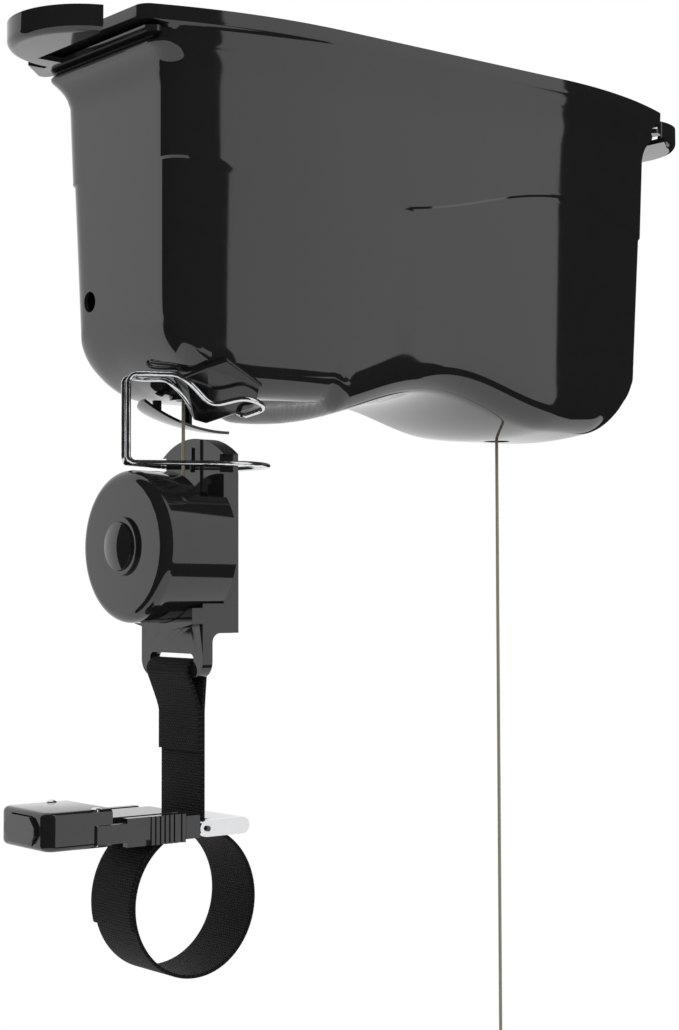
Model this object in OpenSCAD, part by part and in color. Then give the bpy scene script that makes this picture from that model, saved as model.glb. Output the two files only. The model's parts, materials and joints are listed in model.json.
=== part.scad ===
// Bike ceiling hoist: a moulded housing holds a spring-balanced cable drum.
// One cable carries a hanger with a webbing loop, the other a saddle hook.
// Origin: centre of the ceiling plane. X runs along the housing, -Y is the front, +Z is up.

/* [Housing] */
// Length of the wall outline along X
housing_len = 368; // [340:2:400]
// Width of the wall outline across Y at mid-length
housing_wid = 142; // [130:2:156]
// Depth from the ceiling to the front edge of the lobes
housing_h = 205; // [195:1:230]
// How far the belly hangs below that edge
belly_drop = 6; // [2:0.5:12]
// Depth of the left lobe at the back
left_back_h = 198; // [190:1:206]
// Depth of the left lobe at the front
left_front_h = 205; // [196:1:210]
// Wall thickness of the moulding
wall_t = 2.5; // [2:0.1:3.5]
// Vertical corner radius in plan
corner_r = 17; // [12:1:24]
// Radius of the large curve under each end wall
end_r = 50; // [40:1:60]
// Radius of the lower front and back edge
edge_r = 17; // [10:1:22]
// Radius of the bow of the long sides
side_bow_r = 297; // [250:1:400]
// Half length of the straight middle of a long side
side_straight = 85; // [60:1:100]
// Draft of the end walls, in degrees
end_draft = 1.3; // [0.5:0.1:2]
// Draft of the long walls, in degrees
side_draft = 2.2; // [0.5:0.1:3]
// How far the walls stand off the flange's centre along X
wall_shift = 3; // [0:0.5:5]
// Rise of the arch between the two lobes
arch_rise = 18; // [10:1:24]
// Half width of that arch
arch_half = 95; // [70:1:100]
// Depth of the step line round the body
seam_d = 80; // [70:1:95]
// How far the lower body is set in at the step line
seam_step = 1.2; // [0.6:0.1:2]
// Diameter of the adjuster hole in the left end wall
end_hole_d = 11.5; // [8:0.5:14]
// Depth of that hole below the ceiling
end_hole_z = 143.3; // [130:1:150]
// Sideways place of that hole
end_hole_y = 32.7; // [20:1:40]

/* [Flange and ears] */
// Flange length
flange_len = 402.8; // [390:0.5:420]
// Flange width at mid-length
flange_wid = 155.2; // [150:0.5:165]
// Height of the flange band
flange_h = 7.5; // [5:0.5:10]
// Depth at which the flare meets the wall
flare_h = 32; // [26:1:40]
// Corner radius of the flange
flange_r = 8; // [5:1:12]
// Radius of an ear
ear_r = 41.6; // [36:0.2:46]
// Distance of the left ear's centre from the origin
ear_left_x = 201.4; // [196:0.2:206]
// Distance of the right ear's centre from the origin
ear_right_x = 214; // [205:0.5:220]
// Depth of an ear
ear_h = 14; // [12:0.5:18]
// Wall of an ear
ear_t = 3; // [2:0.2:4]
// Radius of an ear's lower edge
ear_edge_r = 4.6; // [3:0.2:6]
// Width along X of the slot between an ear and the flange
ear_slot_w = 16; // [12:0.5:20]
// How far that slot runs past the middle of the ear
ear_slot_reach = 26; // [15:1:30]

/* [Chassis] */
// Thickness of the steel ceiling plate
chassis_t = 3; // [2:0.2:5]
// Length of the steel ceiling plate
chassis_len = 336; // [320:2:344]
// Width of the steel ceiling plate
chassis_wid = 104; // [90:2:112]
// Diameter of the ceiling screw holes
screw_hole_d = 7; // [5:0.5:9]
// Spacing of the ceiling screw holes along X
screw_pitch_x = 300; // [280:1:306]
// Spacing of the ceiling screw holes across Y
screw_pitch_y = 72; // [60:1:80]
// Thickness of the side brackets
bracket_t = 2.5; // [2:0.1:4]
// Width of a side bracket along X
bracket_w = 74; // [60:1:90]

/* [Cables] */
// Cable diameter
cable_d = 2; // [1.5:0.1:3]
// Place of the left cable along X, measured from the origin towards -X
left_cable_x = 136; // [125:0.5:145]
// Place of the right cable along X
right_cable_x = 105.3; // [95:0.5:115]
// Depth at which the right cable ends in its ferrule
right_cable_end = 586; // [500:1:700]

/* [Drum] */
// Radius of the wound cable's centre line
drum_wind_r = 55; // [48:0.5:58]
// Depth of the drum's axis below the ceiling
drum_z = 90; // [82:1:96]
// Width of one cable groove
groove_w = 7; // [6:0.5:9]
// Height of the drum flanges over the groove floor
drum_lip = 9; // [6:0.5:11]
// Thickness of the drum flanges
drum_flange_t = 2.5; // [2:0.1:4]
// Shaft diameter
shaft_d = 12; // [10:0.5:16]
// Number of wound turns that each groove holds side by side
turns = 3; // [2:1:3]

/* [Main spring] */
// Inner radius of the spring case
spring_case_r = 50; // [40:1:54]
// Width of the spring strip
spring_w = 22; // [16:1:26]
// Thickness of the spring strip
spring_t = 0.9; // [0.6:0.1:1.2]
// Number of coils of the spring strip
spring_coils = 7; // [4:1:9]
// Wall of the spring case
spring_case_t = 2.5; // [2:0.1:4]

/* [Ratchet] */
// Tip radius of the ratchet wheel
ratchet_r = 40; // [34:1:46]
// Number of ratchet teeth
ratchet_teeth = 20; // [14:1:28]
// Depth of a tooth
tooth_d = 4.5; // [3:0.1:6]
// Thickness of the ratchet wheel
ratchet_t = 5; // [4:0.5:7]
// Diameter of the pawl's pin
pawl_pin_d = 6; // [5:0.5:8]

/* [Guide pulley] */
// Radius of the cable's centre line on the guide pulley
pulley_wind_r = 18; // [14:0.5:22]
// Width of the guide pulley
pulley_w = 8; // [7:0.5:10]
// Diameter of the guide pulley's pin
pulley_pin_d = 6; // [5:0.5:8]

/* [Guide wire] */
// Diameter of the chromed guide wire
wire_d = 2.8; // [2.2:0.1:3.4]
// Half width of the wire's lower loop
wire_loop_r = 31; // [30:0.5:34]
// Depth of the lower loop below the ceiling
wire_low_z = 234; // [230:0.5:236]
// Depth of the upper corner of the wire
wire_top_z = 187; // [180:0.5:192]
// Distance of the wire's nose from the origin towards -X
wire_nose_x = 174; // [168:0.5:180]
// Half gap between the two upright wires
wire_nose_y = 2.3; // [1.8:0.1:4]

/* [Hanger] */
// Radius of the spool cover
cover_r = 41.3; // [38:0.1:44]
// Depth of the spool's axis below the ceiling
cover_z = 279.3; // [276:0.1:284]
// Distance of the cover's front face from the origin towards -X
cover_front_x = 176.2; // [170:0.1:180]
// Wall of the spool cover
cover_t = 2.4; // [2:0.1:3.5]
// Radius of the cover's front edge
cover_edge_r = 6; // [3:0.5:7]
// Length along X of the cable notch in the cover
notch_len = 17.3; // [14:0.1:20]
// Depth of the notch's floor below the ceiling
notch_z = 252.7; // [250:0.1:256]
// Thickness of the back plate
plate_t = 10; // [8:0.5:12]
// Width of the back plate
plate_w = 58; // [54:0.5:62]
// Distance of the back plate's rear face from the origin towards -X
plate_back_x = 119.7; // [118:0.1:122]
// Depth at which the dome on the back plate starts
plate_top_z = 229.1; // [226:0.1:232]
// Rise of that dome
dome_rise = 9.8; // [6:0.1:12]
// Depth of the back plate's foot
plate_bottom_z = 326; // [322:0.5:330]
// Thickness of the strap tab
tab_t = 6.6; // [5:0.1:8]
// Depth of the bottom of the strap tab
tab_bottom_z = 350; // [346:0.5:354]
// Height of the bar below the tab's slot
tab_bar_h = 6.6; // [5:0.1:8]
// Height of the tab's slot
tab_slot_h = 6.2; // [5:0.1:8]
// Radius of the wound cable on the hanger's spool
spool_r = 17; // [14:0.5:20]
// Diameter of the spool's axle
axle_d = 8; // [6:0.5:10]

/* [Button] */
// Diameter of the button's bezel
bezel_d = 32; // [28:0.5:36]
// Height of the bezel over the cover
bezel_h = 2; // [1:0.1:3]
// Diameter of the button
button_d = 26; // [22:0.5:28]
// Height of the button over the bezel
button_h = 3.4; // [2.5:0.1:5]
// Travel of the button
button_travel = 2.5; // [1.5:0.1:3]

/* [Webbing] */
// Width of the webbing
web_w = 38.1; // [30:0.1:45]
// Thickness of the webbing
web_t = 1.95; // [1.5:0.05:2.5]
// Outer radius of the handlebar loop
loop_r = 40.4; // [34:0.2:46]
// Depth of the loop's centre below the ceiling
loop_z = 470; // [464:0.5:480]
// Distance of the loop's centre from the origin towards -X
loop_x = 141; // [138:0.5:144]
// Depth at which the folded end of the upper strap stops
fold_z = 390; // [380:0.5:400]

/* [Buckle] */
// Width of the buckle across Y
buckle_w = 48; // [46:0.5:54]
// Height of the buckle's body
buckle_h = 20; // [18:0.5:22]
// Depth of the buckle's top below the ceiling
buckle_top_z = 415.5; // [414:0.5:419]
// Depth of the middle of the arms and of the tongue
tongue_z = 429; // [427:0.5:430]
// Distance of the body's left end from the origin towards -X
buckle_left_x = 237.5; // [232:0.5:244]
// Length of the body along X
buckle_body_len = 40; // [36:0.5:44]
// Length of a release arm
arm_len = 55; // [50:0.5:57]
// Thickness of a release arm
arm_t = 4; // [3:0.1:4.4]
// Height of a release arm
arm_h = 15; // [13:0.5:16]
// Diameter of the release arms' pins
arm_pin_d = 3; // [3:0.2:5]
// Number of grip ribs on a release arm
grip_ribs = 6; // [4:1:8]
// Length along X of the tongue's end block
block_len = 9.5; // [8:0.5:14]
// Height of the chromed stirrup
stirrup_h = 9; // [7:0.5:11]
// Length along X of the stirrup
stirrup_len = 33; // [28:0.5:36]
// Thickness of a stirrup cheek
stirrup_t = 2.6; // [2:0.1:3]

/* [Saddle hook] */
// Diameter of the hook's steel rod
hook_d = 6; // [5:0.5:8]
// Inner radius of the hook's bend
hook_r = 19; // [15:0.5:24]
// Thickness of the rubber sleeve
sleeve_t = 2; // [1.5:0.1:3]
// Diameter of the crimped ferrule
ferrule_d = 5; // [4:0.5:7]
// Length of the crimped ferrule
ferrule_len = 12; // [9:0.5:16]

/* [Fits] */
// Running clearance round a pin, on the radius
run_gap = 0.06; // [0.02:0.01:0.1]
// Clearance between pieces that don't touch
free_gap = 0.3; // [0.2:0.05:0.5]
// Side clearance of moving pieces
side_gap = 0.5; // [0.35:0.05:1]

/* [Hidden] */

// Curves of exact round pieces and of small hulled pieces
fine = 96;
soft = 32;
eps = 0.01;
cut = 1;

// Colours as the photograph shows them
gloss_black = "#2a2b2c";
inner_black = "#1c1c1d";
chrome = "#d8dadd";
steel = "#a3a6a8";
brass = "#b39a5a";
wire_grey = "#65625b";
web_black = "#161617";

// Plan outline of the body: a bowed long side, a round corner and a flat end
side_shares = [0, 0.2, 0.38, 0.52, 0.64, 0.76, 0.88];
end_shares = [0.66, 0.33];
corner_steps = 5;
// Flare profile between flange and wall, as shares of flare_h and of the overhang
flare_z_shares = [0, 0.234, 0.25, 0.29, 0.46, 0.50, 0.57, 0.64, 0.80, 1];
flare_end_shares = [1, 0.98, 0.90, 0.42, 0.36, 0.55, 0.55, 0.34, 0.10, 0];
flare_side_shares = [1, 0.97, 0.94, 0.86, 0.62, 0.55, 0.45, 0.34, 0.12, 0];
// Step line: place along the half length, and depth as a share of seam_d
seam_line_shares = [[-1, 0.93], [-0.85, 1], [-0.8, 1.01], [-0.25, 1.14], [0, 1.06], [0.14, 0.98],
    [0.34, 0.88], [0.51, 0.85], [0.7, 0.89], [0.88, 0.98], [1, 1.06]];
seam_fade_shares = [[-1, 1], [-0.9, 1], [-0.8, 0], [-0.25, 0], [0, 1], [1, 1]];
seam_half_h = 0.6;
// Rings of the underside, from its rim inwards, as shares of the way to its spine
under_shares = [0.01, 0.04, 0.09, 0.15, 0.21, 0.27, 0.36, 0.5, 0.66, 0.82, 0.96];
inner_under_shares = [0.03, 0.12, 0.24, 0.4, 0.62, 0.82, 0.96];
spine_share = 0.62;

// Half sizes of the wall outline at the flare, and at the underside's rim
wall_a = housing_len / 2;
wall_b = housing_wid / 2;
rim_depth = housing_h - edge_r;
low_a = wall_a - (rim_depth - flare_h) * tan(end_draft) - seam_step;
low_b = wall_b - (rim_depth - flare_h) * tan(side_draft) - seam_step;

function side_y(x, b) = b - pow(max(0, abs(x) - side_straight), 2) / (2 * side_bow_r);
function bow_angle(a, r) = atan((a - r - side_straight) / side_bow_r);
function corner_yc(a, b, r) = let (f = bow_angle(a, r)) side_y(a - r + r * sin(f), b) - r * cos(f);
function quarter(a, b, r) = let (f = bow_angle(a, r), xt = a - r + r * sin(f), yc = corner_yc(a, b, r))
    concat([for (s = side_shares) [s * xt, side_y(s * xt, b)]],
        [for (i = [0:corner_steps]) let (t = (90 - f) * (1 - i / corner_steps))
            [a - r + r * cos(t), yc + r * sin(t)]],
        [for (s = end_shares) [a, s * yc]]);
function reversed(q) = [for (i = [len(q) - 1:-1:0]) q[i]];
function tail(q) = [for (i = [1:len(q) - 1]) q[i]];
function plan(a, b, r) = let (q = quarter(a, b, r))
    concat(q, [[a, 0]], [for (p = reversed(q)) [p.x, -p.y]],
        [for (p = tail(q)) [-p.x, -p.y]], [[-a, 0]], [for (p = reversed(tail(q))) [-p.x, p.y]]);
ring_n = len(plan(wall_a, wall_b, corner_r));

// Half width of the outline at x, the lower edge's lift, and the depth of the underside
function half_width(x, a, b, r) = abs(x) < a - r ? side_y(x, b)
    : corner_yc(a, b, r) + sqrt(max(0, r * r - pow(abs(x) - (a - r), 2)));
function end_fall(x, a) = let (u = min(end_r, max(0, abs(x) - (a - end_r)))) sqrt(1 - pow(u / end_r, 2));
function edge_lift(y, w) = let (u = min(edge_r, max(0, abs(y) - (w - edge_r))))
    edge_r - sqrt(edge_r * edge_r - u * u);
function arch(x) = abs(x) < arch_half ? arch_rise * pow(cos(90 * x / arch_half), 2) : 0;
function depth_at(x, y, a, b) = let (k = end_fall(x, a), w = half_width(x, a, b, corner_r), full = housing_h
    - end_r + k * (end_r - edge_lift(y, w)) + k * belly_drop * (1 - pow(min(1, abs(y) / w), 2)) - arch(x))
    min(full, left_limit(x, y, w) - k * edge_lift(y, w) * limit_edge);
// The left lobe is less deep, most of all at its back
limit_edge = 0.85;
limit_at_shares = [-0.44, -0.2];
limit_run_shares = [0.3, -1];
function share_of(v, from, to) = max(0, min(1, (v - from) / (to - from)));
function left_limit(x, y, w) = let (f = share_of(y / w, limit_run_shares[0], limit_run_shares[1]))
    lerp(left_back_h, left_front_h, f) + arch_half * share_of(x / wall_a, limit_at_shares[0], limit_at_shares[1])
    - (end_r - end_r * end_fall(x, wall_a)) * limit_edge;
// Depth of the outside of the underside at a place given in the part's frame
function skin_depth(x, y) = depth_at(x - wall_shift, y, low_a, low_b);

function lerp(a, b, t) = a + (b - a) * t;
function flare_ring(k) = let (s = flare_end_shares[k], t = flare_side_shares[k])
    [for (p = plan(lerp(wall_a, flange_len / 2, s), lerp(wall_b, flange_wid / 2, t),
        lerp(corner_r, flange_r, s))) [p.x + wall_shift * (1 - s), p.y, -flare_h * flare_z_shares[k]]];
function seam_at(x) = seam_d * lookup(x / wall_a, seam_line_shares);
function seam_in(x) = seam_step * lookup(x / wall_a, seam_fade_shares);
function upper_ring(t, drop) = let (m = (seam_d - flare_h) * t)
    [for (p = plan(wall_a - m * tan(end_draft), wall_b - m * tan(side_draft), corner_r))
        [p.x + wall_shift, p.y, -lerp(flare_h, seam_at(p.x) + drop, t)]];
function lower_ring(t) = let (m = lerp(seam_d, rim_depth, t) - flare_h)
    [for (p = plan(wall_a - m * tan(end_draft), wall_b - m * tan(side_draft), corner_r))
        let (i = seam_in(p.x), l = norm(p), q = p * (1 - i / l))
        [q.x + wall_shift, q.y, -lerp(seam_at(p.x) + seam_half_h, depth_at(q.x, q.y, low_a, low_b), t)]];
function under_ring(u, off) = [for (p = plan(low_a - off, low_b - off, corner_r - off))
    let (s = [p.x * spine_share, 0], q = s + (p - s) * (1 - u))
    [q.x + wall_shift, q.y, off - depth_at(q.x, q.y, low_a - off, low_b - off)]];
function inner_ring(z, a, b) = [for (p = plan(a, b, corner_r - wall_t)) [p.x + wall_shift, p.y, z]];
function inner_rim() = [for (p = plan(low_a - wall_t, low_b - wall_t, corner_r - wall_t))
    [p.x + wall_shift, p.y, wall_t - depth_at(p.x, p.y, low_a - wall_t, low_b - wall_t)]];

outer_rings = concat([for (k = [0:len(flare_z_shares) - 1]) flare_ring(k)],
    [upper_ring(0.5, 0), upper_ring(1, -seam_half_h), lower_ring(0), lower_ring(0.5), lower_ring(1)],
    [for (u = under_shares) under_ring(u, 0)]);
inner_rings = concat([inner_ring(0, wall_a - wall_t, flange_wid / 2 - 2 * wall_t),
    inner_ring(-flare_h, wall_a - wall_t, wall_b - wall_t), inner_rim()],
    [for (u = inner_under_shares) under_ring(u, wall_t)]);

// Faces of a stack of rings, and a strip with fanned ends that closes its lowest ring
function band_faces(k, n, flip) = [for (i = [0:n - 1]) let (j = (i + 1) % n, a = k * n + i, b = k * n + j,
    c = a + n, d = b + n) each (flip ? [[a, b, d], [a, d, c]] : [[a, d, b], [a, c, d]])];
function strip_faces(k, n, flip) = let (h = n / 2, c = n / 4 - 2 - len(end_shares),
    quads = [for (s = [0, h]) for (i = [0:c - 1])
        each [[s + i, s + i + 1, s + h - i - 1], [s + i, s + h - i - 1, s + h - i]]],
    fans = [for (s = [0, h]) for (i = [c + 1:h - c - 1]) [s + c, s + i, s + i + 1]])
    [for (t = concat(quads, fans)) let (f = [for (i = t) k * n + i % n]) flip ? f : reversed(f)];
module shell_body() {
    n = ring_n;
    ko = len(outer_rings);
    ki = len(inner_rings);
    points = concat([for (r = outer_rings) each r], [for (r = inner_rings) each r]);
    outer = [for (k = [0:ko - 2]) each band_faces(k, n, false)];
    inner = [for (k = [ko:ko + ki - 2]) each band_faces(k, n, true)];
    rim = [for (i = [0:n - 1]) let (j = (i + 1) % n, b = ko * n) each [[i, j, b + j], [i, b + j, b + i]]];
    polyhedron(concat(points), concat(outer, strip_faces(ko - 1, n, false), inner,
        strip_faces(ko + ki - 1, n, true), rim));
}

// A round tube with flat ends, swept along points by a frame that is carried from ring to ring
function unit(v) = v / norm(v);
function tangent(p, i) = unit(p[min(len(p) - 1, i + 1)] - p[max(0, i - 1)]);
function square_to(a, t) = unit(a - (a * t) * t);
function carried(p, up) = [for (i = 0, a = square_to(up, tangent(p, 0)); i < len(p);
    i = i + 1, a = square_to(a, tangent(p, i))) a];
module tube(p, r, sides, up) {
    n = len(p);
    frames = carried(p, up);
    points = [for (i = [0:n - 1]) let (a = frames[i], b = cross(tangent(p, i), a))
        for (k = [0:sides - 1]) p[i] + r * (cos(360 * k / sides) * a + sin(360 * k / sides) * b)];
    walls = [for (i = [0:n - 2]) for (k = [0:sides - 1]) let (j = i + 1, l = (k + 1) % sides)
        each [[i * sides + k, j * sides + l, i * sides + l], [i * sides + k, j * sides + k, j * sides + l]]];
    caps = [[for (k = [0:sides - 1]) k], [for (k = [sides - 1:-1:0]) (n - 1) * sides + k]];
    polyhedron(points, concat(walls, caps));
}
// Points of an arc about c in the plane of u and v
function arc(c, r, u, v, from, to, steps) =
    [for (i = [0:steps]) let (t = lerp(from, to, i / steps)) c + r * (cos(t) * u + sin(t) * v)];

// Cylinders along X and Y from a start point
module rod_x(r, l, sides = fine) { rotate([0, 90, 0]) cylinder(r = r, h = l, $fn = sides); }
module rod_y(r, l, sides = fine) { rotate([-90, 0, 0]) cylinder(r = r, h = l, $fn = sides); }

// Driving places of the mechanism
bush_flange_t = 1.5;
drum_x = right_cable_x - drum_wind_r;
groove_r = drum_wind_r - cable_d / 2;
drum_r = groove_r + drum_lip;
drum_w = 2 * groove_w + 3 * drum_flange_t;
hub_gap = side_gap;
ratchet_y = -drum_w / 2 - ratchet_t;
bracket_front_y = ratchet_y - hub_gap - bush_flange_t - bracket_t;
spring_y = drum_w / 2 + 2 * hub_gap;
spring_case_depth = spring_w + spring_case_t + 2 * side_gap;
bracket_back_y = spring_y + spring_case_depth + spring_case_t;
bush_t = 2;
shaft_r = shaft_d / 2;
bush_r = shaft_r + run_gap + bush_t;
shaft_over = 4;
pulley_x = -left_cable_x + pulley_wind_r;
pulley_z = -drum_z - drum_wind_r - pulley_wind_r;
cable_r = cable_d / 2;

// Housing shell with its cable exits, adjuster hole, screw bosses and claw opening
exit_r = 8;
grommet_t = 1.8;
module housing_shell() {
    color(gloss_black) difference() {
        union() {
            shell_body();
            shell_bosses();
        }
        for (p = boss_places) translate([p.x, p.y, -chassis_t - shell_screw_len])
            cylinder(r = shell_screw_r, h = shell_screw_len + cut, $fn = fine);
        for (x = [-left_cable_x, right_cable_x])
            translate([x, 0, -housing_h - belly_drop - wall_t])
                cylinder(r = exit_r, h = 8 * wall_t, $fn = fine);
        translate([-wall_a - wall_t, end_hole_y, -end_hole_z])
            rod_x(end_hole_d / 2, 4 * wall_t + wall_shift);
        claw(free_gap);
    }
}

// Ears: a round pad with a deep rim, joined to the wall by a thin web with an open slot
ear_slot_back = 2.4;
ear_web_end = 5.2;
ear_web_y = 58;
ear_web_r = 4;
module ear(centre_x) {
    tip = centre_x - flange_len / 2;
    slot_x = flange_len / 2 - ear_slot_back;
    web_end = wall_a + ear_web_end;
    difference() {
        union() {
            intersection() {
                translate([centre_x, 0, -ear_h]) rotate_extrude($fn = fine)
                    ear_profile();
                translate([slot_x + tip, -ear_r - cut, -ear_h - cut])
                    cube([2 * ear_r, 2 * ear_r + 2 * cut, ear_h + 2 * cut]);
            }
            translate([0, 0, -ear_h]) linear_extrude(ear_t) difference() {
                hull() {
                    translate([centre_x, 0]) circle(r = ear_r - ear_edge_r, $fn = soft);
                    for (s = [-1, 1]) translate([web_end + ear_web_r, s * ear_web_y - s * ear_web_r])
                        circle(r = ear_web_r, $fn = soft);
                }
                translate([centre_x + tip, -ear_r]) square([2 * ear_r, 2 * ear_r]);
            }
        }
        translate([slot_x, -ear_web_y - cut, -ear_h - cut])
            cube([ear_slot_w, ear_web_y + cut + ear_slot_reach, ear_h + 2 * cut]);
    }
}
module ear_profile() {
    difference() {
        union() {
            square([ear_r - ear_edge_r, ear_h]);
            translate([0, ear_edge_r]) square([ear_r, ear_h - ear_edge_r]);
            translate([ear_r - ear_edge_r, ear_edge_r]) circle(r = ear_edge_r, $fn = fine);
        }
        translate([0, ear_t]) square([ear_r - ear_t, ear_h]);
        translate([-ear_r, 0]) square([ear_r, ear_h]);
    }
}
module ear_left() { color(gloss_black) mirror([1, 0, 0]) ear(ear_left_x); }
module ear_right() { color(gloss_black) ear(ear_right_x); }

// Bosses inside the shell that the plate is screwed to
boss_places = [[-78, -46], [104, -46], [-78, 46], [104, 46]];
boss_len = 14;
boss_half = 6;
shell_screw_r = 1.8;
shell_screw_head_r = 4;
shell_screw_head_t = 1.4;
shell_screw_len = 12;
module shell_bosses() {
    for (p = boss_places) translate([p.x - boss_half, p.y > 0 ? p.y - boss_half : -wall_b - wall_t,
        -chassis_t - boss_len]) cube([2 * boss_half, wall_b + wall_t - abs(p.y) + boss_half, boss_len]);
}
module shell_screws() {
    color(steel) for (p = boss_places) translate([p.x, p.y, -chassis_t]) union() {
        translate([0, 0, -shell_screw_len])
            cylinder(r = shell_screw_r, h = shell_screw_len + chassis_t - shell_screw_head_t, $fn = fine);
        translate([0, 0, chassis_t - shell_screw_head_t])
            cylinder(r1 = shell_screw_r, r2 = shell_screw_head_r, h = shell_screw_head_t, $fn = fine);
    }
}

// Steel plate that is screwed to the ceiling, and the two brackets that hang from it
plate_corner_r = 10;
lighten_r = 16;
module chassis_plate() {
    color(steel) difference() {
        translate([wall_shift - chassis_len / 2, -chassis_wid / 2, -chassis_t])
            cube([chassis_len, chassis_wid, chassis_t]);
        for (x = [-1, 1], y = [-1, 1])
            translate([x * screw_pitch_x / 2, y * screw_pitch_y / 2, -chassis_t - cut])
                cylinder(d = screw_hole_d, h = chassis_t + 2 * cut, $fn = fine);
        for (s = [-1, 1]) translate([drum_x + s * bracket_w, 0, -chassis_t - cut])
            cylinder(r = lighten_r, h = chassis_t + 2 * cut, $fn = fine);
        for (p = boss_places) translate([p.x, p.y, -chassis_t - cut])
            cylinder(r = shell_screw_r + run_gap, h = chassis_t + 2 * cut, $fn = fine);
        for (p = boss_places) translate([p.x, p.y, -shell_screw_head_t])
            cylinder(r1 = shell_screw_r + run_gap, r2 = shell_screw_head_r + run_gap, h = shell_screw_head_t + eps,
                $fn = fine);
    }
}
bracket_nose_r = 18;
module bracket(y) {
    difference() {
        translate([0, y, 0]) union() {
            translate([drum_x - bracket_w / 2, 0, -drum_z]) cube([bracket_w, bracket_t, drum_z - chassis_t]);
            translate([drum_x, 0, -drum_z]) rod_y(bracket_w / 2, bracket_t);
        }
        translate([drum_x, y - cut, -drum_z]) rod_y(bush_r, bracket_t + 2 * cut);
        for (s = [-1, 1]) translate([drum_x + s * bracket_w / 4, y - cut, -drum_z / 2])
            rod_y(bracket_w / 12, bracket_t + 2 * cut);
    }
}
module bracket_front() { color(steel) difference() {
    bracket(bracket_front_y);
    translate([pawl_x, bracket_front_y - cut, pawl_z]) rod_y(pawl_pin_d / 2, bracket_t + 2 * cut);
} }
module bracket_back() { color(steel) bracket(bracket_back_y); }

// Flanged bushes for the main shaft, with the flange on the inner side
module bush(y, inner) {
    translate([drum_x, y, -drum_z]) difference() {
        union() {
            rod_y(bush_r, bracket_t);
            translate([0, inner > 0 ? bracket_t : -bush_flange_t, 0])
                rod_y(bush_r + bush_t, bush_flange_t);
        }
        translate([0, -bush_flange_t - cut, 0])
            rod_y(shaft_r + run_gap, bracket_t + 2 * bush_flange_t + 2 * cut);
    }
}
module shaft_bush_front() { color(brass) bush(bracket_front_y, 1); }
module shaft_bush_back() { color(brass) bush(bracket_back_y, -1); }
module main_shaft() {
    start = bracket_front_y - shaft_over;
    color(steel) translate([drum_x, start, -drum_z])
        rod_y(shaft_r, bracket_back_y + bracket_t + shaft_over - start);
}

// Drum with two grooves, spokes between hub and rim, and a drive hub
hub_r = 16;
rim_t = 4;
spoke_holes = 6;
module cable_drum() {
    color(inner_black) translate([drum_x, -drum_w / 2, -drum_z]) rotate([-90, 0, 0]) difference() {
        rotate_extrude($fn = fine) difference() {
            square([drum_r, drum_w]);
            for (i = [0, 1]) translate([groove_r, drum_flange_t + i * (groove_w + drum_flange_t)])
                square([drum_lip + cut, groove_w]);
            translate([-cut, -cut]) square([shaft_r + cut, drum_w + 2 * cut]);
        }
        for (i = [0:spoke_holes - 1]) rotate(360 * i / spoke_holes)
            translate([(groove_r - rim_t + hub_r) / 2, 0, -cut])
            cylinder(r = (groove_r - rim_t - hub_r) / 3, h = drum_w + 2 * cut, $fn = fine);
    }
}
// Cable wound side by side on the drum, drawn as a row of turns in each groove
module cable_windings() {
    color(wire_grey) translate([drum_x, -drum_w / 2, -drum_z]) rotate([-90, 0, 0])
        for (i = [0, 1]) for (k = [0:turns - 1])
            translate([0, 0, drum_flange_t + i * (groove_w + drum_flange_t) + groove_w / 2
                + (k - (turns - 1) / 2) * (cable_d + eps)])
                rotate_extrude($fn = fine) translate([groove_r + cable_r + eps, 0])
                    circle(r = cable_r, $fn = soft);
}

// Ratchet wheel: saw teeth cut by one outline
function tooth_points() = [for (i = [0:ratchet_teeth - 1]) let (t = 360 * i / ratchet_teeth,
    s = 360 / ratchet_teeth) each [[ratchet_r * cos(t), ratchet_r * sin(t)],
    [(ratchet_r - tooth_d) * cos(t + s * 0.14), (ratchet_r - tooth_d) * sin(t + s * 0.14)]]];
module ratchet_wheel() {
    color(steel) translate([drum_x, ratchet_y, -drum_z]) rotate([-90, 0, 0]) difference() {
        linear_extrude(ratchet_t) polygon(tooth_points());
        translate([0, 0, -cut]) cylinder(r = shaft_r, h = ratchet_t + 2 * cut, $fn = fine);
    }
}
// Pawl beside the wheel, clear of the teeth at rest
pawl_x = drum_x - ratchet_r - 10;
pawl_z = -drum_z + 26;
pawl_len = 26;
pawl_eye_r = 6;
pawl_tip_r = 1.4;
pawl_lean = -90;
module pawl() {
    color(steel) translate([pawl_x, ratchet_y + side_gap, pawl_z]) rotate([-90, 0, 0]) difference() {
        linear_extrude(ratchet_t - 2 * side_gap) union() {
            circle(r = pawl_eye_r, $fn = fine);
            rotate(-pawl_lean) polygon([[0, -pawl_eye_r * 0.8], [pawl_len, -pawl_tip_r], [pawl_len, pawl_tip_r],
                [0, pawl_eye_r * 0.8]]);
        }
        translate([0, 0, -cut]) cylinder(r = pawl_pin_d / 2 + run_gap, h = ratchet_t + 2 * cut, $fn = fine);
    }
}
pawl_head_r = 5;
pawl_head_t = 1.5;
module pawl_pin() {
    color(steel) translate([pawl_x, bracket_front_y, pawl_z]) union() {
        rod_y(pawl_pin_d / 2, ratchet_y + ratchet_t - free_gap - bracket_front_y);
        translate([0, -pawl_head_t, 0]) rod_y(pawl_head_r, pawl_head_t);
        translate([0, bracket_t, 0]) rod_y(pawl_head_r, ratchet_y - bracket_front_y - bracket_t);
    }
}

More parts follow.
